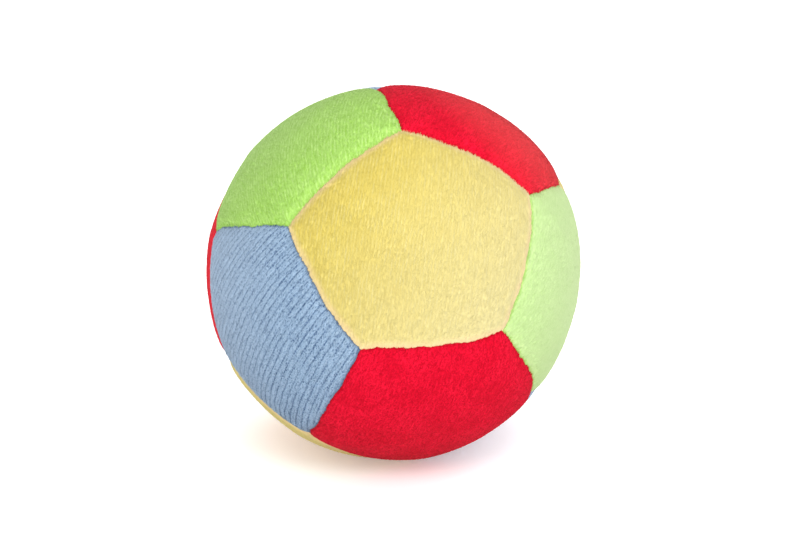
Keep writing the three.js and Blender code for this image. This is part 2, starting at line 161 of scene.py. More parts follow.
class NodeMaker:
    """Adds nodes to a shader tree or a Geometry Nodes tree."""

    def __init__(self, tree: bpy.types.NodeTree) -> None:
        """Keeps the tree."""
        self.tree = tree

    def add(
        self,
        kind: str,
        settings: dict[str, Any] | None = None,
        sockets: dict[str, Any] | None = None,
    ) -> Value:
        """Adds one node.

        Args:
            kind: The node's type.
            settings: Properties that are set first.
            sockets: Numbers, colours or values for the inputs, by identifier, and a list for several links.

        Returns:
            The node's first output in use.
        """
        node = self.tree.nodes.new(kind)
        for name, setting in (settings or {}).items():
            setattr(node, name, setting)
        for name, given in (sockets or {}).items():
            socket = socket_named(node.inputs, name)
            for one in given if isinstance(given, list) else [given]:
                if isinstance(one, Value):
                    self.tree.links.new(one.socket, socket)
                else:
                    socket.default_value = one
        return Value(self, next((s for s in node.outputs if s.enabled), None))

    def math(self, operation: str, *values: Number) -> Value:
        """Adds a Math node.

        Args:
            operation: The node's operation.
            values: Its inputs in order.

        Returns:
            The result.
        """
        names = ("Value", "Value_001")
        return self.add("ShaderNodeMath", {"operation": operation}, dict(zip(names, values)))

    def vector_math(self, operation: str, *vectors: Any) -> Value:
        """Adds a Vector Math node on whole vectors.

        Args:
            operation: The node's operation.
            vectors: Its inputs in order.

        Returns:
            The result.
        """
        names = ("Vector", "Vector_001")
        return self.add("ShaderNodeVectorMath", {"operation": operation}, dict(zip(names, vectors)))

    def scaled(self, vector: Any, scale: Number) -> Value:
        """Multiplies a vector by a number.

        Args:
            vector: The vector.
            scale: The number.

        Returns:
            The longer or shorter vector.
        """
        return self.add(
            "ShaderNodeVectorMath", {"operation": "SCALE"}, {"Vector": vector, "Scale": scale}
        )

    def step(self, value: Number, low: float, high: float) -> Value:
        """Rises smoothly from 0 at low to 1 at high, or falls where low is the larger.

        Args:
            value: The number that is read.
            low: Where the result is 0.
            high: Where the result is 1.

        Returns:
            The share from 0 to 1.
        """
        turned = low > high
        ends = {"From Min": min(low, high), "From Max": max(low, high)}
        ends |= {"To Min": float(turned), "To Max": float(not turned)}
        return self.add(
            "ShaderNodeMapRange", {"interpolation_type": "SMOOTHSTEP"}, {"Value": value, **ends}
        )

    def noise(self, vector: Value, size: float, detail: float = 2.0, roughness: float = 0.5) -> Value:
        """Adds noise from 0 to 1 with features of about the given size.

        Args:
            vector: Where the noise is read.
            size: The size of its features, in the vector's unit.
            detail: How many finer layers it has.
            roughness: How strong those are.

        Returns:
            The noise.
        """
        sockets = {"Vector": vector, "Scale": 1 / size, "Detail": detail, "Roughness": roughness}
        return self.add("ShaderNodeTexNoise", {"noise_dimensions": "3D"}, sockets)

    def mix(self, share: Number, first: Any, second: Any) -> Value:
        """Mixes two colours.

        Args:
            share: 0 gives the first colour and 1 the second.
            first: A colour.
            second: A colour.

        Returns:
            The mixed colour.
        """
        sockets = {"Factor_Float": share, "A_Color": opaque(first), "B_Color": opaque(second)}
        return self.add("ShaderNodeMix", {"data_type": "RGBA"}, sockets).out("Result_Color")

    def split(self, vector: Value) -> tuple[Value, Value, Value]:
        """Gives the three parts of a vector."""
        parts = self.add("ShaderNodeSeparateXYZ", {}, {"Vector": vector})
        return parts.out("X"), parts.out("Y"), parts.out("Z")

    def joined(self, x: Number, y: Number, z: Number) -> Value:
        """Makes a vector of three numbers."""
        return self.add("ShaderNodeCombineXYZ", {}, {"X": x, "Y": y, "Z": z})

    def stored(self, name: str, output: str = "Fac") -> Value:
        """Reads in a material what the mesh stores under a name."""
        return self.add("ShaderNodeAttribute", {"attribute_name": name}).out(output)

    def place(self) -> Value:
        """Tells a material where on its object it is."""
        return self.add("ShaderNodeTexCoord").out("Object")

    def bump(self, height: Value, strength: float, distance: float) -> Value:
        """Tilts a material's normal as if the surface rose and fell.

        Args:
            height: The height, from 0 to 1.
            strength: How much of the tilt is used.
            distance: How high 1 stands for.

        Returns:
            The normal.
        """
        sockets = {"Strength": strength, "Distance": distance, "Height": height}
        return self.add("ShaderNodeBump", {}, sockets)


class GeometryTree(NodeMaker):
    """A Geometry Nodes tree with named inputs, for shapes that follow a rule."""

    SOCKETS = {float: "NodeSocketFloat", int: "NodeSocketInt"}

    def __init__(self, name: str, inputs: dict[str, float | int]) -> None:
        """Makes the tree with a geometry, a material and the given inputs.

        Args:
            name: The tree's name.
            inputs: The named inputs and their usual values.
        """
        super().__init__(bpy.data.node_groups.new(name, "GeometryNodeTree"))
        sides = self.tree.interface
        sides.new_socket("Geometry", in_out="OUTPUT", socket_type="NodeSocketGeometry")
        sides.new_socket("Geometry", in_out="INPUT", socket_type="NodeSocketGeometry")
        sides.new_socket("Material", in_out="INPUT", socket_type="NodeSocketMaterial")
        for title, usual in inputs.items():
            socket = sides.new_socket(title, in_out="INPUT", socket_type=self.SOCKETS[type(usual)])
            socket.default_value = usual
        self.group = self.tree.nodes.new("NodeGroupInput")

    def given(self, title: str) -> Value:
        """Gives a named input of the tree."""
        return Value(self, self.group.outputs[title])

    def attribute(self, name: str, kind: str = "FLOAT") -> Value:
        """Reads an attribute of the mesh by name.

        Args:
            name: The attribute's name.
            kind: Its data type.

        Returns:
            The attribute.
        """
        return self.add("GeometryNodeInputNamedAttribute", {"data_type": kind}, {"Name": name})

    def store(self, geometry: Value, name: str, value: Value, kind: str = "FLOAT") -> Value:
        """Stores an attribute for each point.

        Args:
            geometry: What the points belong to.
            name: The attribute's name.
            value: Its value.
            kind: Its data type.

        Returns:
            The geometry with the attribute.
        """
        settings = {"data_type": kind, "domain": "POINT"}
        sockets = {"Geometry": geometry, "Name": name, "Value": value}
        return self.add("GeometryNodeStoreNamedAttribute", settings, sockets)

    def random(self, low: float, high: float, seed: Value) -> Value:
        """Draws a number between two others for each point."""
        sockets = {"Min_001": low, "Max_001": high, "Seed": seed}
        return self.add("FunctionNodeRandomValue", {"data_type": "FLOAT"}, sockets).out("Value_001")

    def turned(self, axis: Value, side: Value) -> Value:
        """Makes the rotation that turns +Z to an axis and +X towards a side."""
        settings = {"primary_axis": "Z", "secondary_axis": "X"}
        sockets = {"Primary Axis": axis, "Secondary Axis": side}
        return self.add("FunctionNodeAxesToRotation", settings, sockets)

    def planted(self, points: Value, shape: Value, turn: Value, size: Value) -> Value:
        """Puts a turned and sized copy of a shape on each point."""
        sockets = {"Points": points, "Instance": shape, "Rotation": turn, "Scale": size}
        return self.add("GeometryNodeInstanceOnPoints", {}, sockets)

    def finish(self, geometry: Value) -> GeometryTree:
        """Ends the tree in plain faces with the given material.

        Args:
            geometry: What the tree has made.

        Returns:
            The tree.
        """
        real = self.add("GeometryNodeRealizeInstances", {}, {"Geometry": geometry})
        dressed = self.add(
            "GeometryNodeSetMaterial", {}, {"Geometry": real, "Material": self.given("Material")}
        )
        end = self.tree.nodes.new("NodeGroupOutput")
        self.tree.links.new(dressed.socket, end.inputs["Geometry"])
        return self

    def applied(self, mesh: bpy.types.Mesh, values: dict[str, Any]) -> bpy.types.Mesh:
        """Runs the tree once.

        Args:
            mesh: The mesh that goes in, which is left as it is.
            values: Values of the tree's inputs by name.

        Returns:
            A new plain mesh.
        """
        holder = linked(self.tree.name, mesh)
        modifier = holder.modifiers.new(self.tree.name, "NODES")
        modifier.node_group = self.tree
        for item in self.tree.interface.items_tree:
            if item.in_out == "INPUT" and item.name in values:
                modifier[item.identifier] = values[item.name]
        graph = bpy.context.evaluated_depsgraph_get()
        made = bpy.data.meshes.new_from_object(
            holder.evaluated_get(graph), preserve_all_data_layers=True, depsgraph=graph
        )
        holder.modifiers.remove(modifier)
        bpy.data.objects.remove(holder)
        return made


# Mesh helpers


def unit(vectors: Array) -> Array:
    """Scales vectors to length 1."""
    return vectors / np.linalg.norm(vectors, axis=-1, keepdims=True)


def angles_from(axis: Array, directions: Array) -> Array:
    """The angle between an axis and each direction."""
    return np.arccos(np.clip(directions @ axis, -1, 1))


def smooth_step(values: Array, low: float, high: float) -> Array:
    """Rises smoothly from 0 at low to 1 at high."""
    share = np.clip((values - low) / (high - low), 0, 1)
    return share * share * (3 - 2 * share)


class Ripple:
    """Smooth seeded unevenness in space, the sum of waves in many directions."""

    WAVES = 28
    LENGTHS = (0.7, 1.5)

    def __init__(self, length: float, seed: int) -> None:
        """Draws the waves.

        Args:
            length: The usual length of a wave.
            seed: Seed of the draw.
        """
        draw = np.random.default_rng(seed)
        lengths = length * draw.uniform(*self.LENGTHS, (self.WAVES, 1))
        self.rates = FULL_TURN * unit(draw.normal(size=(self.WAVES, 3))) / lengths
        self.starts = draw.uniform(0, FULL_TURN, self.WAVES)
        self.pushes = draw.normal(size=(self.WAVES, 3)) / math.sqrt(self.WAVES)

    def vectors(self, points: Array) -> Array:
        """Gives a push of about 1 in size at each point."""
        return np.sin(points @ self.rates.T + self.starts) @ self.pushes

    def heights(self, points: Array) -> Array:
        """Gives a height of about 1 in size at each point."""
        return self.vectors(points)[:, 0]


def new_mesh(name: str, points: Array, faces: Sequence[Sequence[int]]) -> bpy.types.Mesh:
    """Makes a smooth-shaded mesh.

    Args:
        name: The mesh's name.
        points: Its vertices.
        faces: The vertex numbers of each face.

    Returns:
        The mesh.
    """
    mesh = bpy.data.meshes.new(name)
    mesh.from_pydata(points.tolist(), [], [list(map(int, face)) for face in faces])
    mesh.update()
    mesh.shade_smooth()
    return mesh


def set_attribute(mesh: bpy.types.Mesh, name: str, values: Array) -> None:
    """Stores a number or a vector for each vertex.

    Args:
        mesh: The mesh.
        name: The attribute's name.
        values: One row for each vertex.
    """
    is_vector = values.ndim == 2
    made = mesh.attributes.new(name, "FLOAT_VECTOR" if is_vector else "FLOAT", "POINT")
    made.data.foreach_set("vector" if is_vector else "value", values.astype(np.float32).ravel())


def read(items: Any, name: str, width: int = 1, kind: type = np.float32) -> Array:
    """Reads a property of all vertices, face corners or attribute entries of a mesh.

    Args:
        items: The vertices, corners or entries.
        name: The property's name.
        width: How many numbers it holds.
        kind: The type of those.

    Returns:
        The numbers, in a row for each item where it holds several.
    """
    values = np.empty(len(items) * width, kind)
    items.foreach_get(name, values)
    return values.reshape(-1, width) if width > 1 else values


def set_bake_map(mesh: bpy.types.Mesh, places: Array) -> None:
    """Gives the mesh the map that its finish is baked on.

    Args:
        mesh: The mesh.
        places: A place on the unit square for each corner of each face.
    """
    layer = mesh.uv_layers.new(name=BAKE_MAP)
    layer.data.foreach_set("uv", places.astype(np.float32).ravel())


def merged(points: Array) -> tuple[Array, Array]:
    """Finds the points that share a place.

    Args:
        points: The points.

    Returns:
        The first point at each place, and the number of each point's place.
    """
    rounded = points.round(SAME_PLACE_DIGITS)
    _, first, places = np.unique(rounded, axis=0, return_index=True, return_inverse=True)
    return first, places.ravel()


def linked(name: str, data: Any) -> bpy.types.Object:
    """Puts an object with the given data into the scene."""
    made = bpy.data.objects.new(name, data)
    bpy.context.scene.collection.objects.link(made)
    return made


def new_piece(name: str, mesh: bpy.types.Mesh, material: bpy.types.Material) -> bpy.types.Object:
    """Puts a mesh into the scene.

    Args:
        name: The piece's name.
        mesh: Its mesh, in its place.
        material: Its finish.

    Returns:
        The object.
    """
    mesh.materials.clear()
    mesh.materials.append(material)
    return linked(name, mesh)


# View of the photograph


@dataclass(frozen=True)
class PhotoView:
    """The camera, and where a pixel of the photograph points."""

    width: float = 800.0
    height: float = 549.0
    lens: float = 75.0
    sensor: float = 36.0
    elevation: float = math.radians(22)
    distance: float = 492.0 * MM
    shift_x: float = 0.00785
    shift_y: float = -0.0019
    nearest: float = 10 * MM

    @property
    def focal(self) -> float:
        """The focal length in pixels."""
        return self.lens / self.sensor * self.width

    def axes(self) -> tuple[Array, Array, Array]:
        """The directions to the image's right, to its top and back to the camera."""
        right = np.array([1.0, 0.0, 0.0])
        back = np.array([0.0, -math.cos(self.elevation), math.sin(self.elevation)])
        return right, np.cross(back, right), back

    def in_image(self, turn: float) -> Array:
        """A direction in the image plane, turned anticlockwise from its right by an angle in degrees."""
        right, top, _ = self.axes()
        angle = math.radians(turn)
        return math.cos(angle) * right + math.sin(angle) * top

    def ray(self, pixel: Pixel) -> Array:
        """The direction from the camera through a pixel.

        Args:
            pixel: Column and row in the photograph.

        Returns:
            A unit vector.
        """
        right, top, back = self.axes()
        across = (pixel[0] - self.width / 2 + self.shift_x * self.width) / self.focal
        rise = (self.height / 2 + self.shift_y * self.width - pixel[1]) / self.focal
        return unit(across * right + rise * top - back)

    def aim_at_ball(self, pixel: Pixel, centre: Array, radius: float) -> Array:
        """The direction from a ball's centre to the point of it that a pixel shows.

        Args:
            pixel: Column and row in the photograph.
            centre: The ball's centre.
            radius: The ball's radius.

        Returns:
            A unit vector.
        """
        ray = self.ray(pixel)
        eye = self.distance * self.axes()[2]
        nearest = -eye @ ray
        miss = eye + nearest * ray
        depth = math.sqrt(max(radius**2 - miss @ miss, 0.0))
        return unit(miss - depth * ray)

    def place_camera(self, target: Array) -> None:
        """Puts the camera into the scene, facing a point.

        Args:
            target: The ball's centre.
        """
        data = bpy.data.cameras.new("camera")
        data.lens = self.lens
        data.sensor_width = self.sensor
        data.shift_x = self.shift_x
        data.shift_y = self.shift_y
        data.clip_start = self.nearest
        camera = linked("camera", data)
        camera.location = Vector(target + self.distance * self.axes()[2])
        camera.rotation_euler = (math.pi / 2 - self.elevation, 0, 0)
        bpy.context.scene.camera = camera


# Finishes


class Dye(Enum):
    """The velours that the cover is cut from, by the record's slot."""

    YELLOW = "yellow_velour"
    GREEN = "green_velour"
    RED = "red_velour"
    BLUE = "blue_rib_velour"


@dataclass(frozen=True)
class RibKnit:
    """How a ribbed knit is marked: dashed grooves between its ribs, painted as the shade in those recesses,
    and a twill on them, in millimetres.
    """

    wander_size: float = 5.0
    wander: float = 0.7
    groove: Span = (0.5, 0.97)
    ragged_size: float = 0.7
    dash_pitch: float = 1.05
    dash_slant: float = 1.7
    dash_ragged: float = 3.5
    dash_step: Span = (-0.4, 0.5)
    dash_least: float = 0.27
    dash_gain: float = 0.65
    seam_step: Span = (0.3, 1.2)
    worn_size: float = 9.0
    worn_step: Span = (0.25, 0.55)
    worn_least: float = 0.15
    worn_gain: float = 0.85
    twill_pitch: float = 0.95
    twill_slant: float = 14.0
    twill_ragged: float = 4.0
    twill_step: Span = (0.0, 1.5)

    def stray(self, maker: NodeMaker, grain: Value) -> Value:
        """How far a rib strays from a straight line, for its shape and its colour alike.

        Args:
            maker: A tree.
            grain: Millimetres across and along the ribs.

        Returns:
            The stray in millimetres.
        """
        return (maker.noise(grain, self.wander_size) - 0.5) * self.wander

    def marks(self, maker: NodeMaker, grain: Value, seam: Value, pitch: float) -> tuple[Value, Value]:
        """Marks the grooves, as painted shade, and the twill.

        Args:
            maker: The material's tree.
            grain: Millimetres across and along the ribs.
            seam: Millimetres from the nearest seam.
            pitch: Millimetres from rib to rib.

        Returns:
            How much of a groove shows, and how much of the twill's light side.
        """
        side, along, _ = maker.split(grain)
        across = (side + self.stray(maker, grain)) / pitch
        line = maker.step(maker.math("COSINE", across * FULL_TURN) * -1.0, *self.groove)
        ragged = maker.noise(grain, self.ragged_size) - 0.5
        beat = maker.math("SINE", along * (FULL_TURN / self.dash_pitch) + across * self.dash_slant)
        dash = maker.step(beat * 0.5 + ragged * self.dash_ragged, *self.dash_step)
        worn = maker.step(maker.noise(grain, self.worn_size, detail=1.0), *self.worn_step)
        shown = maker.step(seam, *self.seam_step) * worn
        depth = (dash * self.dash_gain + self.dash_least) * (shown * self.worn_gain + self.worn_least)
        twill = maker.math("SINE", along * (FULL_TURN / self.twill_pitch) + across * self.twill_slant)
        return line * depth, maker.step(twill + ragged * self.twill_ragged, *self.twill_step)


KNIT = RibKnit()


@dataclass(frozen=True)
class Velour:
    """A velour: its dye, and how its pile lies and catches light."""

    dye: Dye
    deep: Colour
    plain: Colour
    brushed: Colour
    # Colour of the painted sheen and painted light on the pile
    pale: Colour
    # Painted seam colour: the shade in the seam's crease on red, green and blue, and on yellow a lighter
    # peach band of painted light against that shade
    edge: Colour
    sheen: float
    sheen_tint: Colour
    contrast: float
    streak_share: float = 0.7
    clump_width: float = 0.55
    clump_length: float = 2.8
    clump_height: float = 0.05 * MM
    zones: float = 0.1
    zone_size: float = 11.0
    wale_pitch: float = 0.97
    wales: float = 0.0
    rib_pitch: float = 1.85
    rib_height: float = 0.0
    # Width in millimetres of the painted seam colour
    edge_width: float = 1.0
    root_shade: float = 0.15
    tuft_density: float = 8.0e6
    tuft_width: float = 0.15 * MM
    tuft_length: float = 0.75 * MM
    speck_size: float = 0.5
    zone_step: Span = (0.36, 0.64)
    tint_share: float = 0.1
    wale_wander: float = 0.5
    wale_step: Span = (0.3, 0.6)
    # How strongly the painted sheen and painted light show, and how far they hide the painted groove shade
    painted_sheen_least: float = 0.6
    painted_sheen_gain: float = 0.8
    groove_under_painted_sheen: float = 0.9
    twill_share: float = 0.2
    # Raggedness and share of the painted seam colour
    edge_ragged: float = 1.2
    edge_share: float = 0.7
    bump_strength: float = 0.2
    bump_depth: float = 0.12 * MM
    roughness: float = 0.95
    pile_gloss: float = 0.1
    sheen_roughness: float = 0.45
    gloss: float = 0.15

    def colour(self, maker: NodeMaker, grain: Value, seam: Value, brush: Value) -> tuple[Value, Value]:
        """Builds the colour over the cloth.

        Args:
            maker: The material's tree.
            grain: Millimetres across and along the nap.
            seam: Millimetres from the nearest seam.
            brush: Painted sheen and painted light on the pile, from 0 to 1, laid on as if the pile were
                brushed up.

        Returns:
            The colour, and the height of the pile from 0 to 1.
        """
        shrink = (1 / self.clump_width, 1 / self.clump_length, 1.0)
        clumps = maker.noise(maker.vector_math("MULTIPLY", grain, shrink), 1.0, detail=3.0, roughness=0.6)
        specks = maker.noise(grain, self.speck_size, detail=3.0, roughness=0.65)
        zones = maker.step(maker.noise(grain, self.zone_size), *self.zone_step)
        pile = clumps * self.streak_share + specks * (1 - self.streak_share)
        strength = (1 - self.zones + zones * self.zones) * self.contrast
        tint, tip = maker.stored("tint"), maker.stored("tip")
        tone = (pile - 0.5 + tint * self.tint_share) * strength + (zones - 0.5) * self.zones * 0.5 + 0.5
        side, _, _ = maker.split(grain)
        course = (side + KNIT.stray(maker, grain) * self.wale_wander) * (FULL_TURN / self.wale_pitch)
        tone = tone + maker.math("COSINE", course) * self.wales * maker.step(clumps, *self.wale_step)
        low = maker.mix(maker.step(tone, 0.0, 0.5), self.deep, self.plain)
        nap = maker.mix(maker.step(tone, 0.5, 1.0), low, self.brushed)
        # Painted sheen and painted light: the pale colour is mixed in as each panel's plan lays it
        nap = maker.mix(brush * (self.painted_sheen_least + pile * self.painted_sheen_gain), nap, self.pale)
        if self.rib_height:
            groove, twill = KNIT.marks(maker, grain, seam, self.rib_pitch)
            # The painted groove shade fades under the painted sheen
            groove = groove * (1 - brush * self.groove_under_painted_sheen)
            nap = maker.mix(twill * self.twill_share, nap, self.brushed)
            # Painted shade: the grooves between the ribs darken to the deep colour
            nap = maker.mix(groove, nap, self.deep)
            pile = pile * 0.5 + (1 - groove) * 0.5
        nap = maker.mix((1 - tip) * self.root_shade, nap, self.deep)
        # Painted seam shade: a ragged band along the seams takes the edge colour, darker on red, green and
        # blue, and painted light in peach on yellow
        edge = maker.step(seam + (clumps - 0.5) * self.edge_ragged, self.edge_width, 0.0)
        return maker.mix(edge * self.edge_share, nap, self.edge), pile

    def material(self) -> bpy.types.Material:
        """Makes the material for panels of this velour."""
        material, maker = new_material(self.dye.value)
        grain, seam = maker.stored("grain", "Vector"), maker.stored("seam")
        colour, pile = self.colour(maker, grain, seam, maker.stored("brush"))
        dress(
            maker,
            {
                "Base Color": colour,
                "Roughness": self.roughness - self.pile_gloss * pile,
                "Normal": maker.bump(pile, self.bump_strength, self.bump_depth),
                "Sheen Weight": self.sheen,
                "Sheen Roughness": self.sheen_roughness,
                "Sheen Tint": opaque(self.sheen_tint),
                "Specular IOR Level": self.gloss,
            },
        )
        return material


def new_material(name: str) -> tuple[bpy.types.Material, NodeMaker]:
    """Makes an empty node material.

    Args:
        name: Its name.

    Returns:
        The material and the maker of its nodes.
    """
    material = bpy.data.materials.new(name)
    material.use_nodes = True
    material.node_tree.nodes.clear()
    return material, NodeMaker(material.node_tree)


def dress(maker: NodeMaker, sockets: dict[str, Any]) -> None:
    """Ends a material in a Principled shader.

    Args:
        maker: The material's tree.
        sockets: Values of the shader's inputs.
    """
    shader = maker.add("ShaderNodeBsdfPrincipled", {}, sockets)
    maker.add("ShaderNodeOutputMaterial", {}, {"Surface": shader})


VELOURS = {
    Dye.YELLOW: Velour(
        Dye.YELLOW,
        deep=(0.68, 0.53, 0.10),
        plain=(0.74, 0.61, 0.15),
        brushed=(0.78, 0.67, 0.24),
        pale=(0.78, 0.71, 0.40),
        # Painted light: a wide peach seam band that lifts the seam's shade
        edge=(0.95, 0.72, 0.42),
        sheen=0.1,
        sheen_tint=(1.0, 0.95, 0.75),
        contrast=1.7,
        wales=0.3,
        streak_share=0.85,
        clump_width=0.42,
        clump_length=4.5,
        edge_width=3.0,
        zones=0.28,
        tuft_width=0.11 * MM,
        tuft_length=0.9 * MM,
    ),
    Dye.GREEN: Velour(
        Dye.GREEN,
        deep=(0.34, 0.62, 0.09),
        plain=(0.43, 0.71, 0.165),
        brushed=(0.57, 0.84, 0.27),
        pale=(0.70, 0.85, 0.48),
        # Painted shade in the seam's crease
        edge=(0.33, 0.60, 0.10),
        sheen=0.12,
        sheen_tint=(0.9, 1.0, 0.75),
        contrast=3.0,
        wales=0.2,
    ),
    Dye.RED: Velour(
        Dye.RED,
        deep=(0.62, 0.001, 0.018),
        plain=(0.80, 0.002, 0.029),
        brushed=(0.94, 0.007, 0.045),
        pale=(0.98, 0.095, 0.095),
        # Painted shade in the seam's crease
        edge=(0.52, 0.001, 0.012),
        sheen=0.1,
        sheen_tint=(1.0, 0.4, 0.4),
        contrast=9.0,
        streak_share=0.4,
        zones=0.6,
    ),
    Dye.BLUE: Velour(
        Dye.BLUE,
        deep=(0.06, 0.12, 0.25),
        plain=(0.36, 0.505, 0.675),
        brushed=(0.50, 0.66, 0.82),
        pale=(0.55, 0.67, 0.82),
        # Painted shade in the seam's crease
        edge=(0.07, 0.12, 0.22),
        sheen=0.12,
        sheen_tint=(0.85, 0.92, 1.0),
        contrast=3.0,
        streak_share=0.3,
        rib_height=0.2 * MM,
        edge_width=0.9,
    ),
}


# Form of the ball


@dataclass(frozen=True)
class PanelPlan:
    """Where a panel faces in the ball's own frame, its cloth, and how its pile lies.

    Angles in the image plane are degrees anticlockwise from its right. Painted sheen and painted light pale
    the pile as if it were brushed up, by a share at the panel's middle, which grows by a gain for each ball's
    radius towards an angle.
    """

    name: str
    lean: float
    fifths: float
    dye: Dye
    nap: float
    # Share of painted sheen and painted light at the panel's middle
    brush: float = 0.3
    gain: float = 0.0
    towards: float = 0.0


@dataclass(frozen=True)
class BallForm:
    """The ball's sizes and seams, as in the construction, and how it lies."""

    diameter: float = 110 * MM
    crown: float = 0.6 * MM
    cloth: float = 1.8 * MM
    seam_dip: float = 1.1 * MM
    seam_roll: float = 4 * MM
    allowance: float = 5 * MM
    panel_gap: float = 0.3 * MM
    rest_depth: float = 0.5 * MM
    front_elevation: float = math.radians(30.1)
    front_turn: float = math.radians(7.8)
    front_spin: float = math.radians(4.7)
    thread: float = 0.5 * MM
    thread_clearance: float = 0.2 * MM
    stitch_depth: float = 1.6 * MM
    fill_clearance: float = 0.4 * MM
    capsule: float = 36 * MM
    pile_share: float = 0.62
    pile_gap: float = 0.02 * MM
    pile_fall: float = 2.5
    most_drift: float = 6.0 * MM
    side_drift: float = 9.5 * MM
    ring_pixels: tuple[Pixel, ...] = (
        (400.8, 132.1), (529.7, 195.4), (502.9, 331.2), (359.3, 354.0), (289.1, 226.7),
    )
    end_pixels: tuple[Pixel, ...] = (
        (374.8, 88.8), (563.7, 185.2), (536.0, 398.0), (309.2, 431.6), (218.0, 230.7),
    )
    side_corners: tuple[int, ...] = (13, 14)
    side_pixels: tuple[Pixel, ...] = ((232.0, 348.0), (228.0, 181.0))

    @property
    def radius(self) -> float:
        """The ball's outer radius."""
        return self.diameter / 2

    @property
    def half_gap(self) -> float:
        """Half of the gap between two panels at a seam."""
        return self.panel_gap / 2

    @property
    def apothem(self) -> float:
        """Angle from a panel's middle to the middle of its edge."""
        return math.atan((math.sqrt(5) - 1) / 2)

    @property
    def reach(self) -> float:
        """Distance over the cover from a panel's middle to the middle of its edge."""
        return self.radius * self.apothem

    @property
    def ring_lean(self) -> float:
        """Angle from a panel's middle to its corner."""
        return math.atan(math.tan(self.apothem) / math.cos(FIFTH / 2))

    @property
    def end_lean(self) -> float:
        """Angle from the front panel's middle to the far end of a spoke seam."""
        return self.ring_lean + math.acos(math.sqrt(5) / 3)

    @staticmethod
    def aim(lean: float, fifths: float) -> Array:
        """A direction in the ball's own frame, whose +Z goes through the front panel and +Y up.

        Args:
            lean: Angle from +Z.
            fifths: Fifths of a turn clockwise from +Y, seen from the front.

        Returns:
            A unit vector.
        """
        turn = FIFTH * fifths
        level = math.sin(lean)
        return np.array([level * math.sin(turn), level * math.cos(turn), math.cos(lean)])

    def cover_radius(self, seam: Array) -> Array:
        """The cover's radius at a distance from the nearest seam, without the crown's simulation.

        Args:
            seam: Distances from the nearest seam.

        Returns:
            The radii.
        """
        fall = 1 - np.clip(seam / self.reach, 0, 1)
        return self.radius - self.roll_dip(seam) - self.crown * fall**2

    def roll_dip(self, seam: Array) -> Array:
        """How far the cloth rolls in at a distance from the seam."""
        roll = 1 - np.clip(seam / self.seam_roll, 0, 1)
        return self.seam_dip * (1 - np.sqrt(1 - roll**2))

    def pile_dip(self, seam: Array) -> Array:
        """How far the pile dips at a distance from the seam, where it fills the roll of the cloth."""
        roll = 1 - np.clip(seam / self.seam_roll, 0, 1)
        return self.pile_share * self.seam_dip * roll**self.pile_fall

    @property
    def fold_radius(self) -> float:
        """The radius at which the cloth turns in at a seam."""
        return float(self.cover_radius(np.array(self.half_gap)))

    @property
    def allowance_radius(self) -> float:
        """The radius of the raw edges inside."""
        return self.fold_radius - self.allowance

    @property
    def stitch_radius(self) -> float:
        """The radius at which the seams are sewn."""
        return self.fold_radius - self.stitch_depth

    def turn(self) -> Array:
        """The rotation from the ball's own frame to the frame that it lies in."""
        level = math.cos(self.front_elevation)
        front = np.array(
            [
                level * math.sin(self.front_turn),
                -level * math.cos(self.front_turn),
                math.sin(self.front_elevation),
            ]
        )
        right = np.array([math.cos(self.front_turn), math.sin(self.front_turn), 0])
        lying = np.column_stack([right, np.cross(front, right), front])
        return lying @ np.array(Matrix.Rotation(self.front_spin, 3, "Z"))

    def plans(self) -> list[PanelPlan]:
        """The twelve panels."""
        near = 2 * self.apothem
        far = math.pi - near
        return [
            # Each panel's painted sheen and painted light grows towards an angle of the image
            PanelPlan("panel_front", 0, 0, Dye.YELLOW, nap=82, brush=0.35, gain=0.9, towards=-40),
            PanelPlan("panel_upper_right", near, 0.5, Dye.RED, nap=35, brush=0.5, gain=2.6, towards=45),
            PanelPlan("panel_right", near, 1.5, Dye.GREEN, nap=75, brush=0.85, gain=0.7, towards=0),
            PanelPlan("panel_lower", near, 2.5, Dye.RED, nap=60, brush=0.02, gain=0.3, towards=-90),
            PanelPlan("panel_left", near, 3.5, Dye.BLUE, nap=63, brush=0.25, gain=1.2, towards=180),
            PanelPlan("panel_upper_left", near, 4.5, Dye.GREEN, nap=84, brush=0.1, gain=0.5, towards=135),
            PanelPlan("panel_top", far, 0, Dye.BLUE, nap=20),
            PanelPlan("panel_far_right", far, 1, Dye.YELLOW, nap=80),
            PanelPlan("panel_bottom_right", far, 2, Dye.BLUE, nap=10),
            PanelPlan("panel_bottom_left", far, 3, Dye.YELLOW, nap=15),
            PanelPlan("panel_far_left", far, 4, Dye.RED, nap=70),
            PanelPlan("panel_back", math.pi, 0, Dye.GREEN, nap=85),
        ]


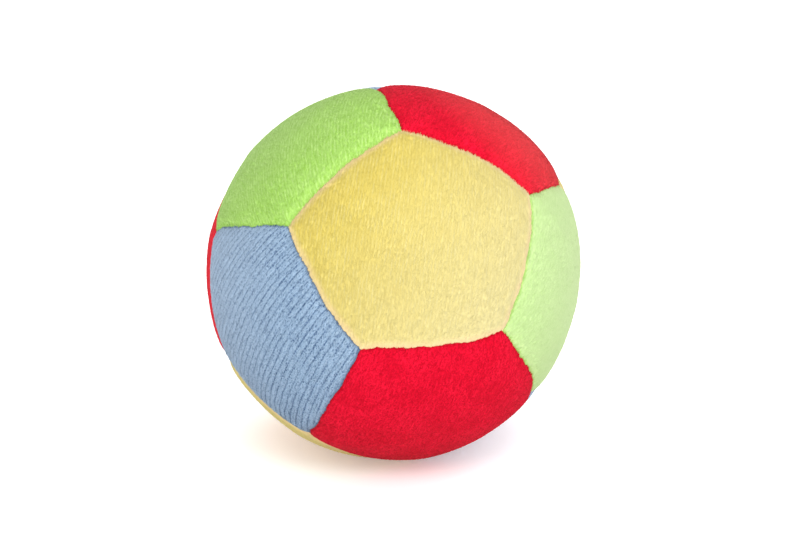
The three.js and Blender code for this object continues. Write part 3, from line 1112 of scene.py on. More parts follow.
class SewnBall:
    """The ball as it lies: its centre, its seam corners as photographed, and its panels' outlines."""

    def __init__(self, form: BallForm, view: PhotoView) -> None:
        """Places the corners where the sewn seams of the photograph meet.

        Args:
            form: The ball's sizes.
            view: The photograph's view.
        """
        self.form = form
        self.view = view
        self.turn = form.turn()
        far_end = math.pi - form.end_lean
        rings = [
            (form.ring_lean, 0.0),
            (form.end_lean, 0.0),
            (far_end, 0.5),
            (math.pi - form.ring_lean, 0.5),
        ]
        regular = [form.aim(lean, k + start) for lean, start in rings for k in range(5)]
        self.regular = np.array(regular) @ self.turn.T
        self.corners = self.regular.copy()
        down = np.array([0.0, 0.0, -1.0])
        rest = form.cover_radius(np.array(self.regular_seam(down)))
        self.centre = np.array([0, 0, float(rest) - form.rest_depth])
        for index, pixel in enumerate((*form.ring_pixels, *form.end_pixels)):
            self.corners[index] = self.drifted(self.regular[index], pixel, form.most_drift)
        for index, pixel in zip(form.side_corners, form.side_pixels):
            self.corners[index] = self.drifted(self.regular[index], pixel, form.side_drift)

    def axis(self, plan: PanelPlan) -> Array:
        """The direction that a panel faces."""
        return self.turn @ self.form.aim(plan.lean, plan.fifths)

    def regular_seam(self, direction: Array) -> float:
        """Distance over the cover from a direction to the nearest seam of the regular ball."""
        axes = np.array([self.axis(plan) for plan in self.form.plans()])
        first, second = np.argsort(-axes @ direction)[:2]
        return self.form.radius * math.asin(unit(axes[first] - axes[second]) @ direction)

    def drifted(self, corner: Array, pixel: Pixel, most: float) -> Array:
        """Moves a regular corner towards where the photograph shows it.

        Args:
            corner: Direction of the regular corner.
            pixel: Where the photograph shows it.
            most: The farthest that it may move.

        Returns:
            The direction of the sewn corner.
        """
        seen = self.view.aim_at_ball(pixel, self.centre, self.form.fold_radius)
        push = seen - corner
        push -= (push @ corner) * corner
        size = np.linalg.norm(push) * self.form.radius
        return unit(corner + push * min(1.0, most / size))

    def outline(self, plan: PanelPlan) -> Outline:
        """A panel's outline."""
        return Outline(self.corners[self.corner_numbers(plan)], self.form.radius)

    def corner_numbers(self, plan: PanelPlan) -> list[int]:
        """The numbers of a panel's corners, anticlockwise seen from outside."""
        axis = self.axis(plan)
        nearest = np.argsort(-self.regular @ axis)[:5]
        aside = unit(np.cross(axis, self.regular[nearest[0]]))
        ahead = np.cross(aside, axis)
        turns = np.arctan2(self.regular[nearest] @ aside, self.regular[nearest] @ ahead)
        return [int(i) for i in nearest[np.argsort(turns)]]


class Outline:
    """A panel's pentagon on the unit sphere, which can be drawn in from its seams."""

    def __init__(self, corners: Array, radius: float) -> None:
        """Finds the planes of the seams.

        Args:
            corners: Five directions, anticlockwise seen from outside.
            radius: The ball's radius.
        """
        self.radius = radius
        self.corners = corners
        self.middle = unit(corners.sum(axis=0))
        self.walls = unit(np.cross(corners, np.roll(corners, -1, axis=0)))

    def seam(self, directions: Array) -> Array:
        """Distance over the ball from each direction to the nearest seam."""
        return self.radius * np.arcsin(np.clip((directions @ self.walls.T).min(axis=1), -1, 1))

    def inset(self, distance: float) -> Array:
        """The five corners of the pentagon drawn in from its seams by a distance."""
        rise = math.sin(distance / self.radius)
        before = np.roll(self.walls, 1, axis=0)
        between = (before * self.walls).sum(axis=1, keepdims=True)
        share = rise / (1 + between)
        across = np.cross(before, self.walls)
        length = np.linalg.norm(across, axis=1, keepdims=True)
        left = np.sqrt(np.maximum(1 - share**2 * (2 + 2 * between), 0))
        side = np.sign((across * self.corners).sum(axis=1, keepdims=True))
        return share * (before + self.walls) + side * left * across / length


class KiteGrid:
    """A pentagon as five kites, each a square grid from its middle to a corner."""

    def __init__(self, steps: int, crowding: float) -> None:
        """Numbers the points and faces.

        Args:
            steps: Steps along the side of a kite.
            crowding: How much closer the steps lie at the seams, from 0.
        """
        self.steps = steps
        even = np.linspace(0, 1, steps + 1)
        self.shares = even + crowding * np.sin(math.pi * even) / math.pi
        index = np.empty((5, steps + 1, steps + 1), int)
        arms = 1 + np.arange(5 * steps).reshape(5, steps)
        inner = 1 + 5 * steps + np.arange(5 * steps * steps).reshape(5, steps, steps)
        index[:, 0, 0] = 0
        index[:, 1:, 0] = arms
        index[:, 0, 1:] = np.roll(arms, -1, axis=0)
        index[:, 1:, 1:] = inner
        self.index = index
        self.count = 1 + 5 * steps + 5 * steps * steps
        quads = (index[:, :-1, :-1], index[:, 1:, :-1], index[:, 1:, 1:], index[:, :-1, 1:])
        self.faces = np.stack(quads, axis=-1).reshape(-1, 4)
        sides = [np.concatenate([kite[-1, :-1], kite[:0:-1, -1]]) for kite in index]
        self.rim = np.concatenate(sides)

    def directions(self, corners: Array) -> Array:
        """Spreads the grid over a pentagon.

        Args:
            corners: Its five corners.

        Returns:
            A unit vector for each point.
        """
        middle = unit(corners.sum(axis=0))
        mids = unit(corners + np.roll(corners, 1, axis=0))
        s = self.shares[:, None, None]
        t = self.shares[None, :, None]
        made = np.empty((self.count, 3))
        for kite in range(5):
            near, far = mids[kite], mids[(kite + 1) % 5]
            spread = (1 - s) * (1 - t) * middle + s * (1 - t) * near
            spread = spread + (1 - s) * t * far + s * t * corners[kite]
            made[self.index[kite]] = unit(spread)
        return made


@dataclass
class StuffedShape:
    """How the stuffing puffs out the cover: a cloth simulation of the sewn ball, held at its seams."""

    ball: SewnBall
    steps: int = 10
    slack: float = 1.3 * MM
    enlargement: float = 20.0
    pressure: float = 3.0
    frames: int = 20
    quality: int = 6
    fine_levels: int = 3
    least_share: float = 0.35
    swells: tuple[Span, ...] = ((42.0, 1.25 * MM), (-27.0, -1.1 * MM))
    swell_width: float = 0.5
    tree: BVHTree = field(init=False)

    def __post_init__(self) -> None:
        """Runs the simulation, and keeps its result for rays from the ball's centre."""
        directions, faces, seams = self.sewn_grid()
        form = self.ball.form
        held = form.radius - form.crown
        share = smooth_step(seams, 0, form.reach)
        start = held - self.slack * share
        rise = self.inflated(directions * start[:, None], faces, seams) - start
        inner = share > self.least_share
        wanted = (form.crown + self.slack) * share[inner].mean() / rise[inner].mean()
        radii = start + rise * wanted
        mesh = new_mesh("stuffed_shape", directions * radii[:, None], faces)
        self.tree = self.smoothed_tree(mesh)

    def sewn_grid(self) -> tuple[Array, Array, Array]:
        """Joins the panels' coarse grids at their seams.

        Returns:
            The directions, the faces and each direction's distance from a seam.
        """
        grid = KiteGrid(self.steps, 0.0)
        directions, faces, seams = [], [], []
        for plan in self.ball.form.plans():
            outline = self.ball.outline(plan)
            spread = grid.directions(outline.corners)
            faces.append(grid.faces + grid.count * len(faces))
            directions.append(spread)
            seams.append(outline.seam(spread))
        points = np.concatenate(directions)
        first, places = merged(points)
        return points[first], places[np.concatenate(faces)], np.concatenate(seams)[first]

    def inflated(self, points: Array, faces: Array, seams: Array) -> Array:
        """Simulates the cover under the stuffing's pressure, enlarged to where the solver's units suit it.

        Args:
            points: The slack cover.
            faces: Its faces.
            seams: Each point's distance from a seam.

        Returns:
            The radius of each point afterwards.
        """
        mesh = new_mesh("slack_cover", points * self.enlargement, faces)
        cover = linked("slack_cover", mesh)
        sewn = cover.vertex_groups.new(name="sewn")
        sewn.add(np.flatnonzero(seams < self.ball.form.half_gap).tolist(), 1.0, "REPLACE")
        cloth = cover.modifiers.new("cloth", "CLOTH")
        settings = cloth.settings
        settings.quality = self.quality
        settings.vertex_group_mass = sewn.name
        settings.use_pressure = True
        settings.uniform_pressure_force = self.pressure
        settings.effector_weights.gravity = 0
        cloth.point_cache.frame_end = self.frames
        scene = bpy.context.scene
        for frame in range(1, self.frames + 1):
            scene.frame_set(frame)
        done = cover.evaluated_get(bpy.context.evaluated_depsgraph_get())
        moved = read(done.data.vertices, "co", 3)
        bpy.data.objects.remove(cover)
        scene.frame_set(1)
        return np.linalg.norm(moved, axis=1).astype(float) / self.enlargement

    def smoothed_tree(self, mesh: bpy.types.Mesh) -> BVHTree:
        """Subdivides the shape for rays.

        Args:
            mesh: The coarse shape.

        Returns:
            The tree of its fine faces.
        """
        holder = linked(mesh.name, mesh)
        smooth = holder.modifiers.new("smooth", "SUBSURF")
        smooth.levels = self.fine_levels
        smooth.render_levels = self.fine_levels
        tree = BVHTree.FromObject(holder, bpy.context.evaluated_depsgraph_get())
        bpy.data.objects.remove(holder)
        return tree

    def radii(self, directions: Array) -> Array:
        """The puffed cover's radius in each direction, uneven where the filling lies thick or thin."""
        cast = self.tree.ray_cast
        origin = Vector()
        made = np.array([cast(origin, Vector(direction))[3] for direction in directions])
        for turn, height in self.swells:
            lean = angles_from(self.ball.view.in_image(turn), directions)
            made += height * np.exp(-((lean / self.swell_width) ** 2))
        return made


class PanelMesh:
    """Faces of one cloth panel: its outside, its turned-in edges and its inside."""

    CROWDING = 0.25

    def __init__(self, steps: int, coarse: int) -> None:
        """Prepares the grids.

        Args:
            steps: Steps of the outside's kites.
            coarse: Steps of the inside's kites, a divisor of steps.
        """
        self.outside = KiteGrid(steps, self.CROWDING)
        self.inside = KiteGrid(coarse, self.CROWDING)
        self.ratio = steps // coarse

    def faces(self, rows: int) -> tuple[list[Sequence[int]], int]:
        """Numbers the faces of a closed panel.

        Points come as the outside's grid, the fine rows under its rim, one coarse row and the inside's grid.

        Args:
            rows: Fine rows under the rim.

        Returns:
            The faces, and how many of them come before the inside ones.
        """
        made: list[Sequence[int]] = list(self.outside.faces)
        around = len(self.outside.rim)
        ring = self.outside.rim
        first = self.outside.count
        for _ in range(rows):
            lower = first + np.arange(around)
            made.extend(self.strip(ring, lower))
            ring = lower
            first += around
        few = len(self.inside.rim)
        raw_edge = first + np.arange(few)
        for j in range(few):
            fine = ring[np.arange(j * self.ratio, (j + 1) * self.ratio + 1) % around]
            made.append([fine[0], raw_edge[j], raw_edge[(j + 1) % few], *fine[:0:-1]])
        shown = len(made)
        start = first + few
        made.extend(self.strip(raw_edge, start + self.inside.rim))
        made.extend(start + self.inside.faces[:, ::-1])
        return made, shown

    @staticmethod
    def strip(upper: Array, lower: Array) -> Array:
        """The faces between two rings of points."""
        after, below = np.roll(upper, -1), np.roll(lower, -1)
        return np.stack([upper, lower, below, after], axis=1)


@dataclass
class VelourCover:
    """The twelve velour panels, each with its nap."""

    ball: SewnBall
    shape: StuffedShape
    steps: int = 70
    coarse_steps: int = 10
    scallop: float = 0.15 * MM
    scallop_length: float = 4.0 * MM
    sway: float = 0.3 * MM
    sway_length: float = 14.0 * MM
    nick: float = 0.12 * MM
    nick_length: float = 1.1 * MM
    nick_fade: Span = (0.6 * MM, 3.0 * MM)
    tug_pixels: tuple[Pixel, Pixel] = ((385.0, 355.0), (385.0, 348.0))
    tug_reach: float = 11.5 * MM
    own_shading: float = 0.25
    rib_roundness: float = 0.6
    pile_start: Span = (0.1 * MM, 1.2 * MM)
    least_pile: float = 0.02
    tuft_lengths: Span = (0.6, 1.2)
    least_facing: float = 0.2
    outside_map: Span = (0.5, 0.40)
    inside_map: Span = (0.08, 0.06)
    seed: int = 7
    meshes: PanelMesh = field(init=False)
    materials: dict[Dye, bpy.types.Material] = field(init=False)
    relief: GeometryTree = field(init=False)
    pile: GeometryTree = field(init=False)
    waves: Ripple = field(init=False)
    nicks: Ripple = field(init=False)
    sways: Ripple = field(init=False)

    def __post_init__(self) -> None:
        """Prepares what all panels share."""
        self.meshes = PanelMesh(self.steps, self.coarse_steps)
        self.materials = {dye: velour.material() for dye, velour in VELOURS.items()}
        self.relief = self.relief_tree()
        self.pile = self.nap_tree()
        self.waves = Ripple(self.scallop_length, self.seed)
        self.nicks = Ripple(self.nick_length, self.seed + 1)
        self.sways = Ripple(self.sway_length, self.seed + 2)

    def uneven(self, directions: Array, seam: Array | float = 0.0) -> Array:
        """Pushes directions aside, so that seams wander as sewn ones do.

        Args:
            directions: Directions from the ball's centre.
            seam: Their distance from a seam, away from which the finest nicks fade out.

        Returns:
            The directions after the push.
        """
        points = directions * self.ball.form.radius
        fade = np.reshape(1 - smooth_step(seam, *self.nick_fade), (-1, 1))
        push = self.scallop * self.waves.vectors(points) + self.nick * fade * self.nicks.vectors(points)
        push = push + self.sway * self.sways.vectors(points) + self.tug(directions)
        return unit(points + push)

    def tug(self, directions: Array) -> Array:
        """How far the stitching pulls up the lower seam of the front panel in each direction."""
        form = self.ball.form
        start, goal = (
            self.ball.view.aim_at_ball(pixel, self.ball.centre, form.fold_radius) for pixel in self.tug_pixels
        )
        away = np.linalg.norm(directions - start, axis=1) * form.radius / self.tug_reach
        return form.radius * np.exp(-(away**2))[:, None] * (goal - start)

    def relief_tree(self) -> GeometryTree:
        """Builds the tree that raises ribs and clumps of pile from a smooth panel."""
        sizes = {
            "Rib Pitch": 2.1,
            "Rib Height": 0.0,
            "Clump Width": 0.9,
            "Clump Length": 2.6,
            "Clump Height": 0.05 * MM,
            "Seam Fade": 3.0,
        }
        tree = GeometryTree("velour_relief", sizes)
        grain = tree.attribute("grain", "FLOAT_VECTOR")
        seam = tree.attribute("seam")
        across, along, _ = tree.split(grain)
        turn = (across + KNIT.stray(tree, grain)) * math.pi / tree.given("Rib Pitch")
        ridge = tree.math("ABSOLUTE", tree.math("COSINE", turn)) ** self.rib_roundness
        flat = tree.joined(across / tree.given("Clump Width"), along / tree.given("Clump Length"), 0.0)
        clumps = tree.noise(flat, 1.0)
        fade = tree.math("MINIMUM", seam / tree.given("Seam Fade"), 1.0)
        height = (ridge - 1) * tree.given("Rib Height") * fade
        height = height + (clumps - 0.5) * tree.given("Clump Height") * 2
        outward = tree.scaled(tree.add("GeometryNodeInputNormal"), height * tree.attribute("outside"))
        raised = tree.add(
            "GeometryNodeSetPosition", {}, {"Geometry": tree.given("Geometry"), "Offset": outward}
        )
        return tree.finish(self.rested(tree, raised))

    @staticmethod
    def rested(tree: GeometryTree, geometry: Value) -> Value:
        """Presses flat what would sink into the ground under the ball.

        Args:
            tree: The tree.
            geometry: Plain faces.

        Returns:
            The faces, none of them below the ground.
        """
        x, y, z = tree.split(tree.add("GeometryNodeInputPosition"))
        ground = tree.joined(x, y, tree.math("MAXIMUM", z, 0.0))
        return tree.add("GeometryNodeSetPosition", {}, {"Geometry": geometry, "Position": ground})

    def nap_tree(self) -> GeometryTree:
        """Builds the tree that plants short leaning tufts of pile over a panel."""
        sizes = {
            "Density": 8.0e6,
            "Width": 0.15 * MM,
            "Length": 0.75 * MM,
            "Lean": 1.0,
            "Rise": 0.25,
            "Spread": 0.18,
            "Seed": 0,
        }
        tree = GeometryTree("velour_nap", sizes)
        seed = tree.given("Seed")
        spots = tree.add(
            "GeometryNodeDistributePointsOnFaces",
            {"distribute_method": "RANDOM"},
            {
                "Mesh": tree.given("Geometry"),
                "Selection": tree.math("GREATER_THAN", tree.attribute("outside"), self.least_pile),
                "Density": tree.given("Density"),
                "Seed": seed,
            },
        )
        tinted = tree.store(spots.out("Points"), "tint", tree.random(-1.0, 1.0, seed + 1))
        leaned = tree.store(tinted, "cloth_normal", spots.out("Normal"), "FLOAT_VECTOR")
        shape = {"Vertices": 3, "Radius Top": 0.0, "Radius Bottom": 1.0, "Depth": 1.0}
        cone = tree.add("GeometryNodeMeshCone", {"fill_type": "NONE"}, shape)
        _, _, height = tree.split(tree.add("GeometryNodeInputPosition"))
        tuft = tree.store(cone.out("Mesh"), "tip", height)
        stray = tree.add(
            "FunctionNodeRandomValue",
            {"data_type": "FLOAT_VECTOR"},
            {"Min": (-1.0, -1.0, -1.0), "Max": (1.0, 1.0, 1.0), "Seed": seed + 2},
        )
        lying = tree.scaled(tree.attribute("nap", "FLOAT_VECTOR"), tree.given("Lean"))
        rising = tree.scaled(spots.out("Normal"), tree.given("Rise"))
        strayed = tree.scaled(stray.out("Value"), tree.given("Spread"))
        aim = tree.vector_math("ADD", tree.vector_math("ADD", lying, rising), strayed)
        turn = tree.turned(aim, spots.out("Normal"))
        length = tree.given("Length") * tree.random(*self.tuft_lengths, seed + 3)
        size = tree.joined(tree.given("Width"), tree.given("Width"), length)
        planted = tree.planted(leaned, tuft, turn, size)
        plain = tree.add("GeometryNodeRealizeInstances", {}, {"Geometry": planted})
        return tree.finish(self.rested(tree, plain))

    def build(self) -> None:
        """Makes every panel."""
        for plan in self.ball.form.plans():
            piece = self.panel(plan)
            LOG.info("%s: %d faces of %s", piece.name, len(piece.data.polygons), plan.dye.value)

    def rows(self, outline: Outline) -> list[Array]:
        """The points of a panel under its outside: its edge rows, raw edge and inside.

        Args:
            outline: The panel's outline.

        Returns:
            The points of each row from the centre.
        """
        form = self.ball.form
        channel = form.thread / 2 + form.thread_clearance
        inner_edge = form.half_gap + form.cloth
        fine = [
            (form.half_gap, form.stitch_radius + form.thread),
            (channel, form.stitch_radius),
            (form.half_gap, form.stitch_radius - form.thread),
            (form.half_gap, form.allowance_radius),
        ]
        grid = self.meshes.outside
        made = [
            self.uneven(grid.directions(outline.inset(inset))[grid.rim]) * radius for inset, radius in fine
        ]
        inside = self.meshes.inside.directions(outline.inset(inner_edge))
        raw_edge = self.uneven(inside[self.meshes.inside.rim]) * form.allowance_radius
        lining = form.cover_radius(outline.seam(inside)) - form.cloth
        return [*made, raw_edge, self.uneven(inside) * lining[:, None]]

    def panel(self, plan: PanelPlan) -> bpy.types.Object:
        """Makes one panel.

        Args:
            plan: Which panel.

        Returns:
            The panel's object.
        """
        form = self.ball.form
        outline = self.ball.outline(plan)
        grid = self.meshes.outside
        outside = grid.directions(outline.inset(form.pile_gap))
        seam = outline.seam(outside)
        radii = self.shape.radii(outside) - form.pile_dip(seam)
        outer = self.uneven(outside, seam) * radii[:, None]
        under = self.rows(outline)
        points = np.concatenate([outer, *under])
        faces, shown = self.meshes.faces(len(under) - 2)
        mesh = new_mesh(plan.name, points + self.ball.centre, faces)
        hidden = len(points) - len(outer)
        flat = self.grain(plan, outline, points)
        # Painted sheen and painted light, paler towards the plan's angle in the image
        rise = (unit(points) - outline.middle) @ self.ball.view.in_image(plan.towards)
        set_attribute(mesh, "brush", np.clip(plan.brush + plan.gain * rise, 0, 1))
        set_attribute(mesh, "grain", flat / MM)
        along = self.nap(plan, outline.middle)
        aims = unit(points)
        set_attribute(mesh, "nap", unit(along - (aims @ along)[:, None] * aims))
        set_attribute(mesh, "seam", np.append(seam, np.zeros(hidden)) / MM)
        set_attribute(mesh, "outside", np.append(smooth_step(seam, *self.pile_start), np.zeros(hidden)))
        velour = VELOURS[plan.dye]
        made = self.relief.applied(
            mesh,
            {
                "Material": self.materials[plan.dye],
                "Rib Pitch": velour.rib_pitch,
                "Rib Height": velour.rib_height,
                "Clump Height": velour.clump_height,
            },
        )
        self.set_panel_map(made, outline, points, shown)
        piece = new_piece(f"{plan.name}_velour", made, self.materials[plan.dye])
        return self.declare(piece, self.nap_piece(made, plan), plan)

    def nap_piece(self, panel: bpy.types.Mesh, plan: PanelPlan) -> bpy.types.Object:
        """Plants the pile of one panel.

        Args:
            panel: The panel's mesh.
            plan: Which panel.

        Returns:
            The pile as a piece of its own.
        """
        velour = VELOURS[plan.dye]
        tufts = self.pile.applied(
            panel,
            {
                "Material": self.materials[plan.dye],
                "Density": velour.tuft_density,
                "Width": velour.tuft_width,
                "Length": velour.tuft_length,
                "Seed": self.seed + self.ball.form.plans().index(plan),
            },
        )
        tufts.shade_smooth()
        self.soften(tufts)
        self.set_tuft_map(tufts)
        name = plan.name.replace("panel", "nap")
        return new_piece(name, tufts, self.materials[plan.dye])

    def soften(self, mesh: bpy.types.Mesh) -> None:
        """Turns the tufts' shading towards the cloth under them, as thousands of fine hairs would look.

        Args:
            mesh: The tufts.
        """
        facing = read(mesh.attributes["cloth_normal"].data, "vector", 3)
        mixed = facing + self.own_shading * read(mesh.vertices, "normal", 3)
        mesh.normals_split_custom_set_from_vertices(unit(mixed).tolist())

    @staticmethod
    def set_tuft_map(mesh: bpy.types.Mesh) -> None:
        """Gives each tuft a cell of its own on the bake map.

        Args:
            mesh: The tufts, each a base of three corners and a tip.
        """
        tips = read(mesh.attributes["tip"].data, "value")
        base = np.flatnonzero(tips[:TUFT_POINTS] < 0.5)
        cell = np.full((TUFT_POINTS, 2), TUFT_TIP)
        cell[base] = TUFT_BASE
        corners = read(mesh.loops, "vertex_index", kind=np.int32)
        side = math.ceil(math.sqrt(len(tips) / TUFT_POINTS))
        tuft = corners // TUFT_POINTS
        places = np.stack([tuft % side, tuft // side], axis=1) + cell[corners % TUFT_POINTS]
        set_bake_map(mesh, places / side)

    def grain(self, plan: PanelPlan, outline: Outline, points: Array) -> Array:
        """Lays the cloth flat, with its nap along the second axis.

        Args:
            plan: The panel.
            outline: Its outline.
            points: Points of it from the ball's centre.

        Returns:
            Places on the flat cloth.
        """
        axis = outline.middle
        along = self.nap(plan, axis)
        across = np.cross(along, axis)
        aims = unit(points)
        lean = angles_from(axis, aims)
        sides = np.stack([aims @ across, aims @ along], axis=1)
        spread = lean / np.maximum(np.linalg.norm(sides, axis=1), 1e-9)
        flat = self.ball.form.radius * sides * spread[:, None]
        return np.column_stack([flat, np.zeros(len(points))])

    def nap(self, plan: PanelPlan, axis: Array) -> Array:
        """The direction of a panel's nap at its middle, which lies in the image as the plan says.

        Args:
            plan: The panel.
            axis: The direction that it faces.

        Returns:
            A unit vector along the cloth.
        """
        lying = self.ball.view.in_image(plan.nap)
        back = self.ball.view.axes()[2]
        facing = back @ axis
        if facing > self.least_facing:
            return unit(lying - (lying @ axis) / facing * back)
        return unit(lying - (lying @ axis) * axis)

    def set_panel_map(self, mesh: bpy.types.Mesh, outline: Outline, points: Array, shown: int) -> None:
        """Gives a panel its bake map: the outside as a large pentagon, the inside as a small one beside it.

        Args:
            mesh: The panel's mesh.
            outline: Its outline.
            points: Its points from the ball's centre.
            shown: How many faces come before those of the inside.
        """
        axis = outline.middle
        ahead = unit(outline.corners[0] - (outline.corners[0] @ axis) * axis)
        aside = np.cross(axis, ahead)
        aims = unit(points)
        lean = angles_from(axis, aims) / self.ball.form.ring_lean
        sides = unit(np.stack([aims @ aside, aims @ ahead], axis=1) + 1e-12)
        depth = np.maximum(self.ball.form.fold_radius - np.linalg.norm(points, axis=1), 0)
        depth[: self.meshes.outside.count] = 0
        middle, reach = self.outside_map
        outer = middle + reach * sides * (lean + depth / self.ball.form.radius)[:, None]
        middle, reach = self.inside_map
        inner = middle + reach * sides * lean[:, None]
        corners = read(mesh.loops, "vertex_index", kind=np.int32)
        border = mesh.polygons[shown].loop_start
        set_bake_map(mesh, np.concatenate([outer[corners[:border]], inner[corners[border:]]]))

    def declare(self, piece: bpy.types.Object, nap: bpy.types.Object, plan: PanelPlan) -> bpy.types.Object:
        """Attaches a panel and its pile to the ball and hides the imported panel; the sizes of the flat
        pentagon, cut with its seam allowances, are worked out but not used.

        Args:
            piece: The panel.
            nap: Its pile.
            plan: Which panel.

        Returns:
            The panel.
        """
        form = self.ball.form
        apothem = form.reach + form.allowance
        corner = apothem / math.cos(FIFTH / 2)
        width = 2 * corner * math.sin(FIFTH)
        area = 5 * apothem * apothem * math.tan(FIFTH / 2)
        size = (width, apothem + corner)
        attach(nap, "ball")
        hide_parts(plan.name)
        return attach(piece, "ball")


# Inside the cover


@dataclass
class SeamThreads:
    """The threads that sew the panels together, stitch by stitch along each seam."""

    ball: SewnBall
    cover: VelourCover
    stitch: float = 2.2 * MM
    end_gap: float = 1.2 * MM
    step: float = 1.0 * MM
    core_share: float = 0.3
    stitch_share: float = 0.92
    sides: int = 6
    rings: int = 5
    fuzz_size: float = 0.3 * MM
    dark: Colour = (0.78, 0.73, 0.64)
    light: Colour = (0.93, 0.90, 0.84)

    def paths(self) -> dict[str, list[int]]:
        """The corners that each thread runs through, front ring and ends first, then back ends and ring."""
        front, ends, back_ends, back = (list(range(5 * i, 5 * i + 5)) for i in range(4))
        zigzag = [corner for pair in zip(ends, back_ends) for corner in pair]
        runs = {"thread_front_ring": [*front, front[0]], "thread_back_ring": [*back, back[0]]}
        for k in range(5):
            runs[f"thread_front_spoke_{k + 1}"] = [front[k], ends[k]]
            runs[f"thread_back_spoke_{k + 1}"] = [back[k], back_ends[k]]
        runs["thread_zigzag"] = [*zigzag[2:], *zigzag[:2]]
        runs["thread_closing_stitch"] = zigzag[1:3]
        return runs

    def path(self, numbers: Sequence[int]) -> Array:
        """Points along seams, at the depth of the stitching.

        Args:
            numbers: The corners that the thread runs through.

        Returns:
            The points from the ball's centre.
        """
        form = self.ball.form
        legs = []
        for start, end in zip(self.ball.corners[numbers[:-1]], self.ball.corners[numbers[1:]]):
            angle = math.acos(start @ end)
            shares = np.arange(0, 1, self.step / (form.radius * angle))[:, None]
            legs.append(unit(np.sin((1 - shares) * angle) * start + np.sin(shares * angle) * end))
        aims = np.concatenate([*legs, self.ball.corners[numbers[-1:]]])
        if numbers[0] != numbers[-1]:
            trim = math.ceil(self.end_gap / self.step)
            aims = aims[trim:-trim]
        return self.cover.uneven(aims) * form.stitch_radius

    def stitch_tree(self) -> GeometryTree:
        """Builds the tree that turns a line into a row of stitches on a core."""
        sizes = {"Stitch Length": self.stitch, "Thread Diameter": self.ball.form.thread}
        tree = GeometryTree("seam_stitches", sizes)
        length, thick = tree.given("Stitch Length"), tree.given("Thread Diameter")
        line = tree.add("GeometryNodeMeshToCurve", {}, {"Mesh": tree.given("Geometry")})
        around = {"Resolution": self.sides, "Radius": thick * self.core_share}
        ring = tree.add("GeometryNodeCurvePrimitiveCircle", {}, around)
        core = tree.add(
            "GeometryNodeCurveToMesh", {}, {"Curve": line, "Profile Curve": ring, "Fill Caps": True}
        )
        places = tree.add("GeometryNodeCurveToPoints", {"mode": "LENGTH"}, {"Curve": line, "Length": length})
        round_shape = {"Segments": self.sides, "Rings": self.rings, "Radius": 0.5}
        bead = tree.add("GeometryNodeMeshUVSphere", {}, round_shape)
        size = tree.joined(thick, thick, length * self.stitch_share)
        lying = tree.turned(places.out("Tangent"), places.out("Normal"))
        sewn = tree.planted(places, bead, lying, size)
        return tree.finish(tree.add("GeometryNodeJoinGeometry", {}, {"Geometry": [core, sewn]}))

    def material(self) -> bpy.types.Material:
        """Makes the pale twisted thread's finish."""
        material, maker = new_material("sewing_thread")
        fuzz = maker.noise(maker.place(), self.fuzz_size, detail=3.0)
        colour = maker.mix(fuzz, self.dark, self.light)
        bump = maker.bump(fuzz, strength=0.4, distance=0.05 * MM)
        dress(maker, {"Base Color": colour, "Roughness": 0.6 + fuzz * 0.2, "Normal": bump})
        return material

    def build(self) -> None:
        """Sews every seam."""
        tree, material = self.stitch_tree(), self.material()
        for name, numbers in self.paths().items():
            points = self.path(numbers) + self.ball.centre
            line = bpy.data.meshes.new(f"{name}_line")
            links = [(i, i + 1) for i in range(len(points) - 1)]
            line.from_pydata(points.tolist(), links, [])
            mesh = tree.applied(line, {"Material": material})
            mesh.shade_smooth()
            piece = new_piece(f"{name}_twist", mesh, material)
            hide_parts(name)
            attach(piece, "ball")
            LOG.info("%s: %d faces", name, len(mesh.polygons))


